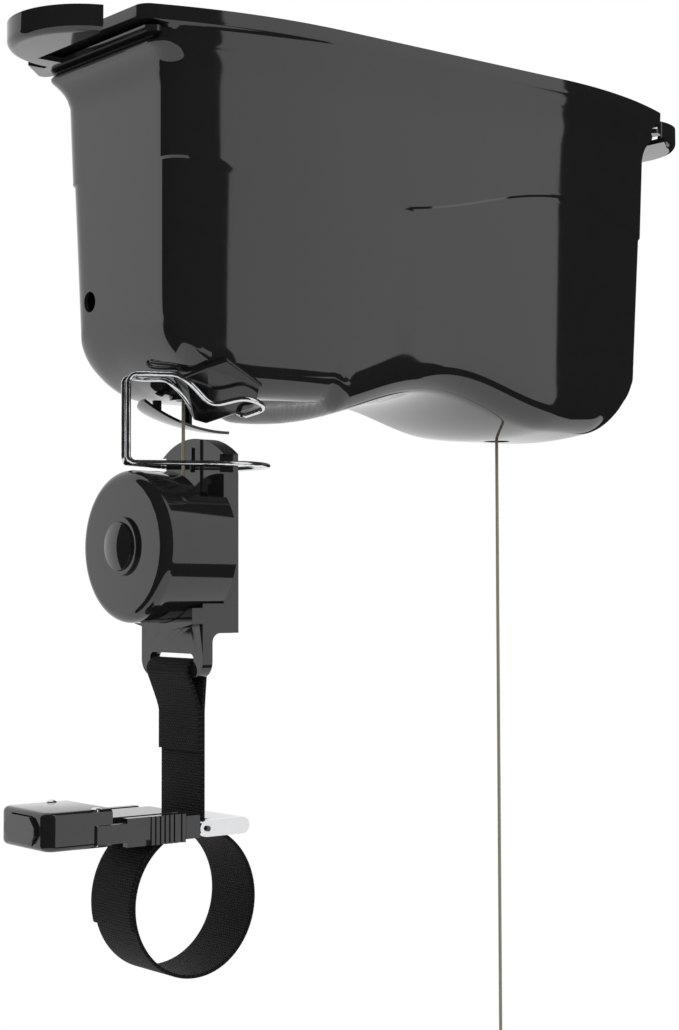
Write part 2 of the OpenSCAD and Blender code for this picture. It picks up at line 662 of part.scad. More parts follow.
// Spring motor: arbor on the shaft, strip wound between arbor and case
arbor_r = 13;
module spring_arbor() {
    color(inner_black) translate([drum_x, spring_y + spring_case_t + side_gap, -drum_z]) difference() {
        rod_y(arbor_r, spring_w);
        translate([0, -cut, 0]) rod_y(shaft_r, spring_w + 2 * cut);
    }
}
shaft_hole_gap = 1.5;
module spring_case() {
    color(inner_black) translate([drum_x, spring_y, -drum_z]) difference() {
        rod_y(spring_case_r + spring_case_t, spring_case_depth);
        translate([0, spring_case_t, 0]) rod_y(spring_case_r, spring_case_depth);
        translate([0, -cut, 0]) rod_y(shaft_r + shaft_hole_gap, spring_case_t + 2 * cut);
    }
}
module spring_case_cover() {
    color(inner_black) translate([drum_x, spring_y + spring_case_depth, -drum_z]) difference() {
        rod_y(spring_case_r + spring_case_t, spring_case_t);
        translate([0, -cut, 0]) rod_y(bush_r + bush_t + free_gap, spring_case_t + 2 * cut);
    }
}
spiral_steps = 24;
function spiral(off) = [for (i = [0:spring_coils * spiral_steps])
    let (t = i / spiral_steps, r = lerp(arbor_r + side_gap, spring_case_r - spring_t - eps, t / spring_coils) + off)
    [r * cos(360 * t), r * sin(360 * t)]];
module mainspring() {
    color(steel) translate([drum_x, spring_y + spring_case_t + side_gap, -drum_z]) rotate([-90, 0, 0])
        linear_extrude(spring_w) polygon(concat(spiral(0), reversed(spiral(spring_t))));
}

// Left guide pulley in a yoke that hangs from the plate
yoke_t = 3;
yoke_w = 24;
module pulley_yoke() {
    half = pulley_w / 2 + side_gap;
    color(steel) difference() {
        union() {
            for (s = [0, 1]) translate([pulley_x, s == 0 ? -half - yoke_t : half, pulley_z]) union() {
                translate([-yoke_w / 2, 0, 0]) cube([yoke_w, yoke_t, -pulley_z - chassis_t]);
                rod_y(yoke_w / 2, yoke_t);
            }
            translate([pulley_x - yoke_w / 2, -half - yoke_t, -chassis_t - yoke_t])
                cube([yoke_w, 2 * half + 2 * yoke_t, yoke_t]);
        }
        translate([pulley_x, -half - yoke_t - cut, pulley_z])
            rod_y(pulley_pin_d / 2, 2 * half + 2 * yoke_t + 2 * cut);
    }
}
pulley_lip = 3.4;
module guide_pulley() {
    color(inner_black) translate([pulley_x, -pulley_w / 2, pulley_z]) rotate([-90, 0, 0])
        rotate_extrude($fn = fine) difference() {
            translate([pulley_pin_d / 2 + run_gap, 0])
                square([pulley_wind_r + pulley_lip - pulley_pin_d / 2 - run_gap, pulley_w]);
            translate([pulley_wind_r, pulley_w / 2]) circle(r = cable_r + free_gap, $fn = soft);
            translate([pulley_wind_r, pulley_w / 2]) polygon([[0, -cable_r - free_gap],
                [pulley_lip + cut, -pulley_w / 2 + cable_r], [pulley_lip + cut, pulley_w / 2 - cable_r],
                [0, cable_r + free_gap]]);
        }
}
module guide_pulley_pin() {
    half = pulley_w / 2 + side_gap + yoke_t;
    color(steel) translate([pulley_x, -half, pulley_z]) union() {
        rod_y(pulley_pin_d / 2, 2 * half);
        translate([0, -pawl_head_t, 0]) rod_y(pawl_head_r, pawl_head_t);
        translate([0, 2 * half, 0]) rod_y(pawl_head_r, pawl_head_t);
    }
}

// Grommets in the cable exits: a flush lower end and a flange on the inner side
grommet_len = 12;
grommet_bore = 1.6;
grommet_in = 0.8;
module grommet(x) {
    low = -skin_depth(x, 0) + grommet_in;
    bore = cable_r + grommet_bore;
    rim = exit_r + grommet_t;
    seat = max([for (t = [0:30:330]) -skin_depth(x + rim * cos(t), rim * sin(t))]) + wall_t + free_gap - low;
    translate([x, 0, low]) rotate_extrude($fn = fine) difference() {
        union() {
            translate([bore, 0]) square([exit_r - free_gap - bore, grommet_len]);
            translate([bore, seat]) square([rim - bore, grommet_t]);
        }
        translate([bore, 0]) circle(r = grommet_bore, $fn = fine);
    }
}
module grommet_left() { color(inner_black) grommet(-left_cable_x); }
module grommet_right() { color(inner_black) grommet(right_cable_x); }

// Inner cable runs, from the drum to the exits
groove_y = (groove_w + drum_flange_t) / 2;
run_start = 17;
exit_left_z = -skin_depth(-left_cable_x, 0);
exit_right_z = -skin_depth(right_cable_x, 0);
cable_sides = 8;
run_steps = 6;
function toward(a, b, d) = a + (b - a) * d / norm(b - a);
module cable_run_left() {
    leave = [drum_x, -groove_y, -drum_z - drum_wind_r];
    bend = arc([pulley_x, 0, pulley_z], pulley_wind_r, [0, 0, 1], [-1, 0, 0], 0, 90, run_steps);
    color(wire_grey) tube(concat([toward(leave, bend[0], run_start)], bend, [[-left_cable_x, 0, exit_left_z]]),
        cable_r, cable_sides, [0, 1, 0]);
}
module cable_run_right() {
    leave = [right_cable_x, groove_y, -drum_z];
    low = [right_cable_x, 0, exit_right_z + grommet_len];
    color(wire_grey) tube([toward(leave, low, run_start), low, [right_cable_x, 0, exit_right_z]],
        cable_r, cable_sides, [0, 1, 0]);
}

// Claw: a moulded block that stands out of the left lobe and holds the ends of the guide wire
claw_r = 1.6;
claw_points = [[-165, -33, -188.5], [-164, -43, -190], [-159, -55, -186], [-151, -59.5, -182.5],
    [-129.5, -60, -194], [-124, -46, -203.5], [-139.5, -26, -211], [-144, -23, -209.5], [-146, -20, -203],
    [-130.5, -14, -210], [-112, -30, -201.5], [-138, -42, -181]];
module claw(grow) {
    hull() for (p = claw_points) translate(p) sphere(r = claw_r + grow, $fn = 16);
}
module claws() { color(inner_black) claw(0); }

// Curved guard behind the left cable: half a shallow dish on two posts
guard_r = 30;
guard_t = 1.6;
guard_bow_r = 110;
guard_tilt = 15;
guard_x = -131.5;
guard_z = -207.7;
guard_front_y = 2.6;
guard_post_r = 2.6;
guard_post_y = 17;
guard_post_places = [-142, -121];
module guard_dish() {
    translate([guard_x, 0, guard_z]) rotate([0, guard_tilt, 0]) intersection() {
        translate([0, 0, sqrt(guard_bow_r * guard_bow_r - guard_r * guard_r)]) difference() {
            sphere(r = guard_bow_r, $fn = fine);
            sphere(r = guard_bow_r - guard_t, $fn = fine);
        }
        translate([0, 0, -guard_r]) cylinder(r = guard_r, h = 2 * guard_r, $fn = fine);
    }
}
module cable_guard() {
    color(inner_black) union() {
        difference() {
            guard_dish();
            translate([guard_x - 2 * guard_r, guard_front_y - 2 * guard_r, guard_z - guard_r])
                cube([4 * guard_r, 2 * guard_r, 2 * guard_r]);
        }
        for (x = guard_post_places) let (top = min([for (t = [0:45:315])
            -skin_depth(x + guard_post_r * cos(t), guard_post_y + guard_post_r * sin(t))]) - eps,
            low = guard_z - (x - guard_x) * tan(guard_tilt) - guard_t)
            translate([x, guard_post_y, low]) cylinder(r = guard_post_r, h = top - low, $fn = fine);
    }
}

// Guide wire: one bent wire whose two ends sit in the claw; it frames the hanger's head
wire_r = wire_d / 2;
wire_sides = 8;
wire_loop_x = -115.5;
wire_bend_r = 5;
wire_near_points = [[-128.5, -40, -207.5], [-128.5, -45, -209.5], [-125.5, -47, -208.5], [-122.5, -51, -207],
    [-122, -55, -205.5], [-127, -58.5, -203.5], [-133.5, -59, -202], [-138.5, -57, -201.5], [-143, -51, -203],
    [-147.5, -47, -204.5], [-152, -45, -203.5], [-158.5, -44, -197], [-164.5, -42.5, -191.5],
    [-166.5, -36.5, -188.5], [-168.5, -24, -187.5], [-169.5, -15, -186.5], [-171, -7, -186]];
wire_far_points = [[-144.5, -25, -207], [-149, -27, -205], [-152, -28, -202.5], [-158.5, -30, -197.5],
    [-164.5, -29.5, -193], [-166, -26.5, -190.5], [-167, -13, -189.5], [-168, -3.5, -188.5]];
function corner(p, a, b) = [p + wire_bend_r * unit(a - p), p + wire_bend_r / 2 * unit(a - p),
    p + wire_bend_r / 2 * unit(b - p), p + wire_bend_r * unit(b - p)];
function wire_half(s) = let (top = [-wire_nose_x, s * wire_nose_y, -wire_top_z],
    low = [-wire_nose_x, s * wire_nose_y, -wire_low_z], side = [wire_loop_x - wire_loop_r, s * wire_loop_r * 0.72,
    -wire_low_z], from = s < 0 ? wire_near_points[len(wire_near_points) - 1]
    : wire_far_points[len(wire_far_points) - 1])
    concat(corner(top, from, low), corner(low, top, side),
    arc([wire_loop_x, 0, -wire_low_z], wire_loop_r, [0, s, 0], [1, 0, 0], -52, 90, 10));
// Rounds the corners of a run of points by cutting each one
function rounded(p) = concat([p[0]], [for (i = [0:len(p) - 2]) each [lerp(p[i], p[i + 1], 0.25),
    lerp(p[i], p[i + 1], 0.75)]], [p[len(p) - 1]]);
function headed(p) = [for (i = [0:len(p) - 2]) p[i]];
module guide_wire() {
    path = concat(wire_near_points, headed(wire_half(-1)), reversed(wire_half(1)), reversed(wire_far_points));
    color(chrome) tube(rounded(path), wire_r, wire_sides, unit([0.3, 0.2, 1]));
}

// Left cable from the exit down to the hanger's entry bush
entry_h = 4;
entry_z = -notch_z + entry_h;
module left_cable() {
    color(wire_grey) tube([[-left_cable_x, 0, exit_left_z], [-left_cable_x, 0, entry_z]],
        cable_r, cable_sides, [0, 1, 0]);
}

// Hanger: back plate with a domed head, foot and strap tab in one moulding
plate_front_x = -plate_back_x - plate_t;
hanger_step = 14;
tab_front_x = plate_front_x - hanger_step;
foot_h = 16;
chin_t = 7;
chin_top = 14;
chin_low = 1.6;
chin_bow_r = 120;
foot_r = 5;
dome_r = (plate_w * plate_w / 4 + dome_rise * dome_rise) / (2 * dome_rise);
tab_corner_r = 9;
slot_w = web_w + 3;
rib_w = 1.6;
rib_h = 1.2;
// The head is rounded down to this depth, so that it passes through the guide wire's loop
head_pass_z = 239;
module plate_outline() {
    square_h = plate_bottom_z - plate_top_z;
    translate([-plate_w / 2, -plate_bottom_z]) square([plate_w, square_h]);
    intersection() {
        translate([0, -plate_top_z + dome_rise - dome_r]) circle(r = dome_r, $fn = fine);
        translate([-plate_w / 2, -plate_top_z - cut]) square([plate_w, dome_rise + 2 * cut]);
    }
}
module hanger_plate() {
    color(gloss_black) difference() {
        union() {
            translate([plate_front_x, 0, 0]) rotate([90, 0, 90]) linear_extrude(plate_t) plate_outline();
            translate([tab_front_x, -plate_w / 2, -plate_bottom_z])
                cube([hanger_step + cut, plate_w, foot_h]);
            translate([tab_front_x + tab_t, -plate_w / 2, -plate_bottom_z - foot_r]) difference() {
                cube([foot_r, plate_w, foot_r + cut]);
                translate([foot_r, -cut, 0]) rod_y(foot_r, plate_w + 2 * cut);
            }
            translate([tab_front_x, 0, 0]) rotate([90, 0, 90]) linear_extrude(tab_t) tab_outline();
            translate([tab_front_x - chin_t, 0, 0]) rotate([90, 0, 90]) linear_extrude(chin_t + cut)
                chin_outline();
            translate([plate_front_x - rib_h, -rib_w / 2, -notch_z + entry_h])
                cube([rib_h + cut, rib_w, notch_z - plate_top_z + dome_rise / 2 - entry_h]);
        }
        translate([tab_front_x - cut, 0, 0]) rotate([90, 0, 90])
            linear_extrude(tab_t + 2 * cut) slot_outline();
        translate([-cover_front_x, 0, -cover_z]) rod_x(cover_r + run_gap, cover_len);
        translate([0, 0, -head_pass_z]) difference() {
            translate([plate_front_x - cut, -plate_w, 0])
                cube([plate_t + 2 * cut, 2 * plate_w, head_pass_z - plate_top_z]);
            translate([wire_loop_x, 0, -cut])
                cylinder(r = wire_loop_r - wire_r - side_gap, h = head_pass_z, $fn = fine);
        }
        translate([plate_front_x - cut, 0, -cover_z]) rod_x(axle_d / 2, plate_t + 2 * cut);
        for (p = screw_places()) translate([plate_front_x - cut, p.x, p.y]) {
            rod_x(screw_r + free_gap, plate_t + 2 * cut);
            translate([plate_t + cut - screw_head_t - free_gap, 0, 0])
                rod_x(screw_head_r + free_gap, screw_head_t + free_gap + cut);
        }
    }
}
module tab_outline() {
    h = tab_bottom_z - plate_bottom_z;
    hull() {
        translate([-plate_w / 2, -plate_bottom_z - eps]) square([plate_w, eps]);
        for (s = [-1, 1]) translate([s * (plate_w / 2 - tab_corner_r), -tab_bottom_z + tab_corner_r])
            circle(r = tab_corner_r, $fn = fine);
    }
}
module chin_outline() {
    intersection() {
        translate([-plate_w / 2, -plate_bottom_z]) square([plate_w, chin_top - free_gap]);
        translate([0, chin_bow_r - plate_bottom_z + chin_low]) circle(r = chin_bow_r, $fn = fine);
        difference() {
            translate([-plate_w / 2, -plate_bottom_z]) square([plate_w, chin_top]);
            translate([0, -cover_z]) circle(r = cover_r + free_gap, $fn = fine);
        }
    }
}
module slot_outline() {
    low = -tab_bottom_z + tab_bar_h;
    r = tab_slot_h / 2;
    for (s = [-1, 1]) translate([s * (slot_w / 2 - r), low + r]) circle(r = r, $fn = fine);
    translate([-slot_w / 2 + r, low]) square([slot_w - 2 * r, tab_slot_h]);
}

// Spool cover: a cup with a round front edge, a flat cable notch and a button opening
cover_len = cover_front_x + plate_front_x;
bezel_neck = 2.4;
module cover_profile(r, edge) {
    square([r - edge, cover_len]);
    translate([0, 0]) square([r, cover_len - edge]);
    translate([r - edge, cover_len - edge]) circle(r = edge, $fn = fine);
}
module cover_half() {
    intersection() {
        difference() {
            cover_profile(cover_r, cover_edge_r);
            translate([0, -cover_t]) cover_profile(cover_r - cover_t, cover_edge_r - cover_t);
        }
        square([cover_r, cover_len]);
    }
}
screw_r = 1.6;
screw_top_y = 23.5;
screw_rise = 3.2;
screw_drop = 28.3;
screw_top_z = -notch_z - cover_t - screw_rise;
screw_low_y = 22.2;
screw_low_z = -cover_z - screw_drop;
screw_boss_r = 3.6;
screw_head_r = 3.2;
screw_head_t = 2;
function screw_places() = [for (s = [-1, 1]) each [[s * screw_top_y, screw_top_z], [s * screw_low_y, screw_low_z]]];
module spool_cover() {
    x = plate_front_x;
    floor_w = sqrt(cover_r * cover_r - pow(cover_z - notch_z, 2));
    color(gloss_black) difference() {
        union() {
            difference() {
                translate([x, 0, -cover_z]) rotate([0, -90, 0]) rotate_extrude($fn = fine) cover_half();
                translate([x - notch_len, -cover_r - cut, -notch_z])
                    cube([notch_len + cut, 2 * cover_r + 2 * cut, cover_r]);
            }
            translate([x - notch_len, -floor_w + eps, -notch_z - cover_t])
                cube([notch_len, 2 * floor_w - 2 * eps, cover_t]);
            intersection() {
                translate([x - notch_len - cover_t, -cover_r, -notch_z - cover_t])
                    cube([cover_t, 2 * cover_r, cover_r]);
                translate([x - notch_len - cover_t, 0, -cover_z]) rod_x(cover_r - eps, cover_t);
            }
            for (p = screw_places()) translate([x - screw_boss_len, p.x, p.y])
                rod_x(screw_boss_r, screw_boss_len);
        }
        translate([-cover_front_x - cut, 0, -cover_z])
            rod_x(bezel_d / 2 - bezel_neck + free_gap, cover_t + 2 * cut);
        translate([-left_cable_x, 0, -notch_z - cover_t - cut])
            cylinder(r = entry_r, h = cover_t + 2 * cut, $fn = fine);
        for (p = screw_places()) translate([x - screw_boss_len - cut, p.x, p.y])
            rod_x(screw_r, screw_boss_len + 2 * cut);
    }
}
screw_boss_len = 12;
module cover_screws() {
    color(steel) for (p = screw_places()) translate([-plate_back_x, p.x, p.y]) difference() {
        translate([-plate_t - screw_boss_len + cover_t, 0, 0]) union() {
            rod_x(screw_r - eps, plate_t + screw_boss_len - cover_t);
            translate([plate_t + screw_boss_len - cover_t - screw_head_t, 0, 0])
                rod_x(screw_head_r, screw_head_t);
        }
        translate([-screw_head_t / 2, 0, 0]) rod_x(screw_r, screw_head_t, 6);
    }
}

// Spool on its axle, the winding on it, and the bush where the cable enters
spool_w = 12;
spool_lip = 5;
axle_over = 4;
axle_len = cover_len - 9;
module spool_axle() {
    color(steel) translate([plate_front_x - axle_len, 0, -cover_z]) union() {
        rod_x(axle_d / 2, axle_len + plate_t);
        translate([spring_seat_in, 0, 0]) rod_x(axle_d / 2 + spring_seat_h, spring_seat_t);
    }
}
spring_seat_in = 5.4;
spring_seat_h = 2.5;
spring_seat_t = 1.5;
spool_x = -left_cable_x - spool_w / 2;
module cable_spool() {
    color(inner_black) translate([spool_x, 0, -cover_z]) difference() {
        union() {
            rod_x(spool_r, spool_w);
            for (x = [0, spool_w - drum_flange_t]) translate([x, 0, 0])
                rod_x(spool_r + spool_lip, drum_flange_t);
        }
        translate([-cut, 0, 0]) rod_x(axle_d / 2 + run_gap, spool_w + 2 * cut);
    }
}
module spool_winding() {
    color(wire_grey) for (k = [0:turns - 1])
        translate([-left_cable_x + (k - (turns - 1) / 2) * (cable_d + eps), 0, -cover_z]) rotate([0, 90, 0])
            rotate_extrude($fn = fine) translate([spool_r + cable_r + eps, 0])
                circle(r = cable_r, $fn = soft);
}
entry_r = 4;
entry_lip = 1.2;
module entry_bush() {
    color(inner_black) translate([-left_cable_x, 0, -notch_z]) difference() {
        union() {
            translate([0, 0, -cover_t])
                cylinder(r = entry_r - free_gap / 2, h = cover_t + entry_h - entry_lip, $fn = fine);
            cylinder(r = entry_r + entry_lip, h = entry_lip, $fn = fine);
            translate([0, 0, entry_h - entry_lip])
                cylinder(r = entry_r - entry_lip, h = entry_lip, $fn = fine);
        }
        translate([0, 0, -cover_t - cut]) cylinder(r = cable_r + free_gap, h = cover_t + cut, $fn = fine);
    }
}

// Button: bezel snapped into the cover, button sliding in it against a coil spring
bezel_flange_t = 1.4;
button_foot = 2;
module bezel() {
    inner = button_d / 2 + run_gap;
    color(gloss_black) translate([-cover_front_x, 0, -cover_z]) difference() {
        union() {
            translate([-bezel_h, 0, 0]) rod_x(bezel_d / 2, bezel_h);
            rod_x(bezel_d / 2 - bezel_neck, cover_t + bezel_flange_t);
        }
        translate([-bezel_h - cut, 0, 0]) rod_x(inner, cover_t + bezel_flange_t + bezel_h + 2 * cut);
    }
}
button_dome_r = 40;
button_back = 4;
module push_button() {
    front = bezel_h + button_h;
    color(gloss_black) translate([-cover_front_x, 0, -cover_z]) union() {
        intersection() {
            translate([-front, 0, 0]) rod_x(button_d / 2, front + button_back);
            translate([-front + button_dome_r, 0, 0]) sphere(r = button_dome_r, $fn = fine);
        }
        translate([button_back, 0, 0]) rod_x(axle_d / 2 + button_foot, button_foot);
    }
}
button_spring_d = 0.8;
button_spring_turns = 5;
function button_coil() = let (r = axle_d / 2 + button_foot / 2, from = -cover_front_x + button_back + button_foot
    + button_spring_d / 2 + eps,
    to = plate_front_x - axle_len + spring_seat_in - button_spring_d / 2 - eps)
    [for (i = [0:button_spring_turns * 12]) let (t = i / 12)
        [lerp(from, to, t / button_spring_turns), r * cos(360 * t), -cover_z + r * sin(360 * t)]];
module button_spring() {
    color(steel) tube(button_coil(), button_spring_d / 2, 6, [1, 0, 0]);
}

// Upper strap: folded round the tab's bar, sewn flat, then one layer down to the loop
strap_back_x = -left_cable_x - web_t / 2;
bar_x = tab_front_x + tab_t / 2;
bar_z = -tab_bottom_z + tab_bar_h / 2;
wrap_r = norm([tab_t, tab_bar_h]) / 2 + free_gap;
strap_join_z = -tab_bottom_z - 14;
strap_steps = 16;
function wrap(r) = [for (i = [0:strap_steps]) let (t = 180 - 180 * i / strap_steps)
    [bar_x + r * cos(t), bar_z + r * sin(t)]];
module upper_strap() {
    low = -loop_z + loop_r + free_gap;
    color(web_black) translate([0, web_w / 2, 0]) rotate([90, 0, 0]) linear_extrude(web_w) difference() {
        polygon(concat([[strap_back_x - web_t, -fold_z], [strap_back_x - web_t, strap_join_z]], wrap(wrap_r + web_t),
            [[strap_back_x + web_t, strap_join_z], [strap_back_x + web_t, low], [strap_back_x, low],
            [strap_back_x, -fold_z]]));
        polygon(concat(wrap(wrap_r), [[strap_back_x, strap_join_z]]));
    }
}
// Handlebar loop: a ring of webbing with a sewn second layer on its left side
lap_from = 105;
lap_to = 196;
module ring_sector(r, from, to) {
    steps = 32;
    polygon(concat([for (i = [0:steps]) let (t = lerp(from, to, i / steps)) [r * cos(t), r * sin(t)]],
        [for (i = [steps:-1:0]) let (t = lerp(from, to, i / steps)) [(r - web_t) * cos(t), (r - web_t) * sin(t)]]));
}
module handlebar_loop() {
    color(web_black) translate([-loop_x, web_w / 2, -loop_z]) rotate([90, 0, 0]) linear_extrude(web_w)
        union() {
        difference() {
            circle(r = loop_r, $fn = fine);
            circle(r = loop_r - web_t, $fn = fine);
        }
        ring_sector(loop_r + web_t, lap_from, lap_to);
    }
}

// Buckle body: a moulded block with rounded long edges, hollow and open to the right
buckle_r = 5;
buckle_end_r = 2;
body_wall = 2.4;
body_right_x = -buckle_left_x + buckle_body_len;
mid_z = -buckle_top_z - buckle_h / 2;
arm_z = -tongue_z;
arm_y = buckle_w / 2 - arm_t;
arm_tip_in = 9;
arm_pivot_x = body_right_x - arm_tip_in;
arm_pivot_y = arm_y + arm_t / 2;
neck_h = arm_h * 0.66;
neck_len = 18;
pocket_back = 11;
pocket_y = 16;
thumb_t = 4.6;
thumb_proud = 2.2;
thumb_half_w = 15;
thumb_half_h = 7.2;
thumb_cut = 5;
thumb_stem_r = 3;
thumb_stem_len = 9.9;
thumb_clip_r = 4.6;
thumb_clip_t = 1.2;
thumb_bore_r = 5.2;
thumb_bore_len = 3.6;
thumb_travel = 1.6;
thumb_spring_d = 0.7;
thumb_spring_turns = 3;
module round_rect(l, w, r) {
    translate([r, -w / 2]) square([l - 2 * r, w]);
    translate([0, r - w / 2]) square([l, w - 2 * r]);
    for (x = [r, l - r], y = [r - w / 2, w / 2 - r]) translate([x, y]) circle(r = r, $fn = fine);
}
// Block with round corners in plan and chamfered ends seen from the side
module soft_box(l, w, h, r, bevel) {
    x = l / 2 - bevel;
    z = h / 2 - bevel;
    intersection() {
        linear_extrude(h) round_rect(l, w, r);
        translate([l / 2, w, h / 2]) rotate([90, 0, 0]) linear_extrude(2 * w)
            polygon([[-l / 2, -z], [-x, -h / 2], [x, -h / 2], [l / 2, -z],
                     [l / 2, z], [x, h / 2], [-x, h / 2], [-l / 2, z]]);
    }
}
function thumb_outline(g) = [for (q = [[1, 1], [-1, 1], [-1, -1], [1, -1]]) let (w = thumb_half_w + g,
    h = thumb_half_h + g, c = thumb_cut + g * 0.4) each (q.x * q.y > 0
    ? [[q.x * w, q.y * (h - c)], [q.x * (w - c), q.y * h]] : [[q.x * (w - c), q.y * h], [q.x * w, q.y * (h - c)]])];
module thumb_prism(x, l, g) {
    translate([x, 0, mid_z]) rotate([90, 0, 90]) linear_extrude(l) polygon(thumb_outline(g));
}
thumb_floor_x = -buckle_left_x + thumb_t - thumb_proud + thumb_travel + free_gap;
module buckle_body() {
    slot_h = neck_h + 2 * free_gap;
    color(gloss_black) difference() {
        translate([-buckle_left_x, 0, mid_z - buckle_h / 2])
            soft_box(buckle_body_len, buckle_w, buckle_h, buckle_r, buckle_end_r);
        for (s = [-1, 1]) translate([arm_pivot_x - arm_t, s * arm_pivot_y - arm_t, arm_z - slot_h / 2])
            cube([buckle_body_len, 2 * arm_t, slot_h]);
        translate([-buckle_left_x + pocket_back, -pocket_y, mid_z - buckle_h / 2 + body_wall])
            cube([buckle_body_len, 2 * pocket_y, buckle_h - 2 * body_wall]);
        for (s = [-1, 1]) translate([arm_pivot_x, s * arm_pivot_y, mid_z - buckle_h / 2 - cut])
            cylinder(d = arm_pin_d, h = buckle_h + 2 * cut, $fn = fine);
        thumb_prism(-buckle_left_x - cut, thumb_floor_x + buckle_left_x + cut, free_gap);
        translate([thumb_floor_x - cut, 0, mid_z]) rod_x(thumb_stem_r + run_gap, pocket_back + cut);
        translate([thumb_floor_x - cut, 0, mid_z]) rod_x(thumb_bore_r, thumb_bore_len + cut);
    }
}
// Thumb button in the buckle's end face: an octagonal pad on a stem with a clip, over a coil spring
module thumb_button() {
    x = -buckle_left_x - thumb_proud;
    color(gloss_black) union() {
        thumb_prism(x, thumb_t, 0);
        translate([x, 0, mid_z]) rod_x(thumb_stem_r, thumb_t + thumb_stem_len);
        translate([x + thumb_t + thumb_stem_len - thumb_clip_t, 0, mid_z]) rod_x(thumb_clip_r, thumb_clip_t);
    }
}
function thumb_coil() = let (r = (thumb_stem_r + thumb_bore_r) / 2, from = -buckle_left_x - thumb_proud + thumb_t
    + thumb_spring_d / 2 + eps, to = thumb_floor_x + thumb_bore_len - thumb_spring_d / 2 - eps)
    [for (i = [0:thumb_spring_turns * 12]) let (t = i / 12)
        [lerp(from, to, t / thumb_spring_turns), r * cos(360 * t), mid_z + r * sin(360 * t)]];
module thumb_spring() {
    color(steel) tube(thumb_coil(), thumb_spring_d / 2, 6, [1, 0, 0]);
}

// Release arms: a neck in the body, a grip pad with ribs, and a plain nose
grip_pitch = 3;
rib_len = 1.7;
rib_proud = 0.7;
nose_len = 4;
module release_arm() {
    tip = arm_pivot_x + arm_len;
    pad = arm_pivot_x + neck_len;
    first = tip - nose_len - grip_ribs * grip_pitch;
    difference() {
        union() {
            translate([arm_pivot_x, -arm_pivot_y, arm_z - neck_h / 2])
                cylinder(r = arm_t / 2, h = neck_h, $fn = fine);
            translate([arm_pivot_x, -buckle_w / 2, arm_z - neck_h / 2]) cube([neck_len + cut, arm_t, neck_h]);
            translate([pad, -buckle_w / 2, arm_z - arm_h / 2]) cube([tip - pad, arm_t, arm_h]);
            for (i = [0:grip_ribs - 1])
                translate([first + i * grip_pitch, -buckle_w / 2 - rib_proud, arm_z - arm_h / 2])
                cube([rib_len, rib_proud + cut, arm_h]);
            translate([tip - nose_len + rib_len, -buckle_w / 2 - rib_proud, arm_z - arm_h / 2])
                cube([nose_len - rib_len, rib_proud + cut, arm_h]);
        }
        translate([arm_pivot_x, -arm_pivot_y, arm_z - arm_h])
            cylinder(d = arm_pin_d + 2 * run_gap, h = 2 * arm_h, $fn = fine);
    }
}
module release_arm_front() { color(gloss_black) release_arm(); }
module release_arm_back() { color(gloss_black) mirror([0, 1, 0]) release_arm(); }
rivet_head_h = 0.9;
module arm_pins() {
    low = mid_z - buckle_h / 2 + rivet_head_h;
    color(chrome) for (s = [-1, 1]) translate([arm_pivot_x, s * arm_pivot_y, low]) union() {
        cylinder(d = arm_pin_d, h = buckle_h - rivet_head_h, $fn = fine);
        translate([0, 0, buckle_h - rivet_head_h])
            cylinder(d1 = 2 * arm_pin_d, d2 = arm_pin_d, h = rivet_head_h, $fn = fine);
    }
}

// Tongue: a blade that runs back into the body, and an end block round the webbing with two lugs
block_x = arm_pivot_x + arm_len + side_gap;
block_h = 12.4;
blade_t = 3;
blade_in = 14.5;
blade_inset = 0.6;
lug_t = 1.4;
lug_r = 4;
stub_r = 1.5;
stirrup_axis_x = block_x + block_len + stirrup_h / 2 + free_gap;
stirrup_axis_z = arm_z - 1.6;
lug_y = web_w / 2 + free_gap;
cheek_y = lug_y + lug_t + free_gap;
module buckle_tongue() {
    inner = pocket_y - blade_inset;
    blade_z = arm_z + arm_h / 2 - blade_t;
    start = -buckle_left_x + blade_in;
    color(gloss_black) difference() {
        union() {
            translate([start, -inner, blade_z]) cube([block_x - start + cut, 2 * inner, blade_t]);
            difference() {
                translate([block_x, -buckle_w / 2, arm_z - block_h / 2]) cube([block_len, buckle_w, block_h]);
                for (s = [-1, 1]) translate([stirrup_axis_x, s * (cheek_y + buckle_w / 2) - buckle_w / 2, stirrup_axis_z])
                    rod_y(stirrup_h / 2 + free_gap, buckle_w);
            }
            for (s = [-1, 1]) translate([0, s * (lug_y + lug_t / 2) - lug_t / 2, 0]) union() {
                translate([stirrup_axis_x, 0, stirrup_axis_z]) rod_y(lug_r, lug_t);
                translate([block_x, 0, stirrup_axis_z - lug_r])
                    cube([stirrup_axis_x - block_x, lug_t, 2 * lug_r]);
                translate([stirrup_axis_x, min(0, s * (lug_t + free_gap + stirrup_t)), stirrup_axis_z])
                    rod_y(stub_r, lug_t + free_gap + stirrup_t);
            }
        }
        translate([block_x - cut, -lug_y, arm_z - arm_h])
            cube([stirrup_len, 2 * lug_y, web_t / 2 - loop_z + loop_r - arm_z + arm_h]);
        translate([block_x + block_len, -lug_y, arm_z - arm_h]) cube([stirrup_len, 2 * lug_y, 2 * arm_h]);
    }
}

// Stirrup: two capsule-shaped cheeks joined by a round bar behind the webbing
module stirrup_cheek() {
    r = stirrup_h / 2;
    hull() for (x = [0, stirrup_len - stirrup_h]) translate([stirrup_axis_x + x, 0, stirrup_axis_z])
        rod_y(r, stirrup_t);
}
module chrome_stirrup() {
    r = stirrup_h / 2;
    color(chrome) difference() {
        union() {
            for (y = [-cheek_y - stirrup_t, cheek_y]) translate([0, y, 0]) stirrup_cheek();
            translate([stirrup_axis_x + stirrup_len - stirrup_h, -cheek_y - cut, stirrup_axis_z])
                rod_y(r, 2 * cheek_y + 2 * cut);
        }
        translate([stirrup_axis_x, -buckle_w, stirrup_axis_z]) rod_y(stub_r + run_gap, 2 * buckle_w);
    }
}

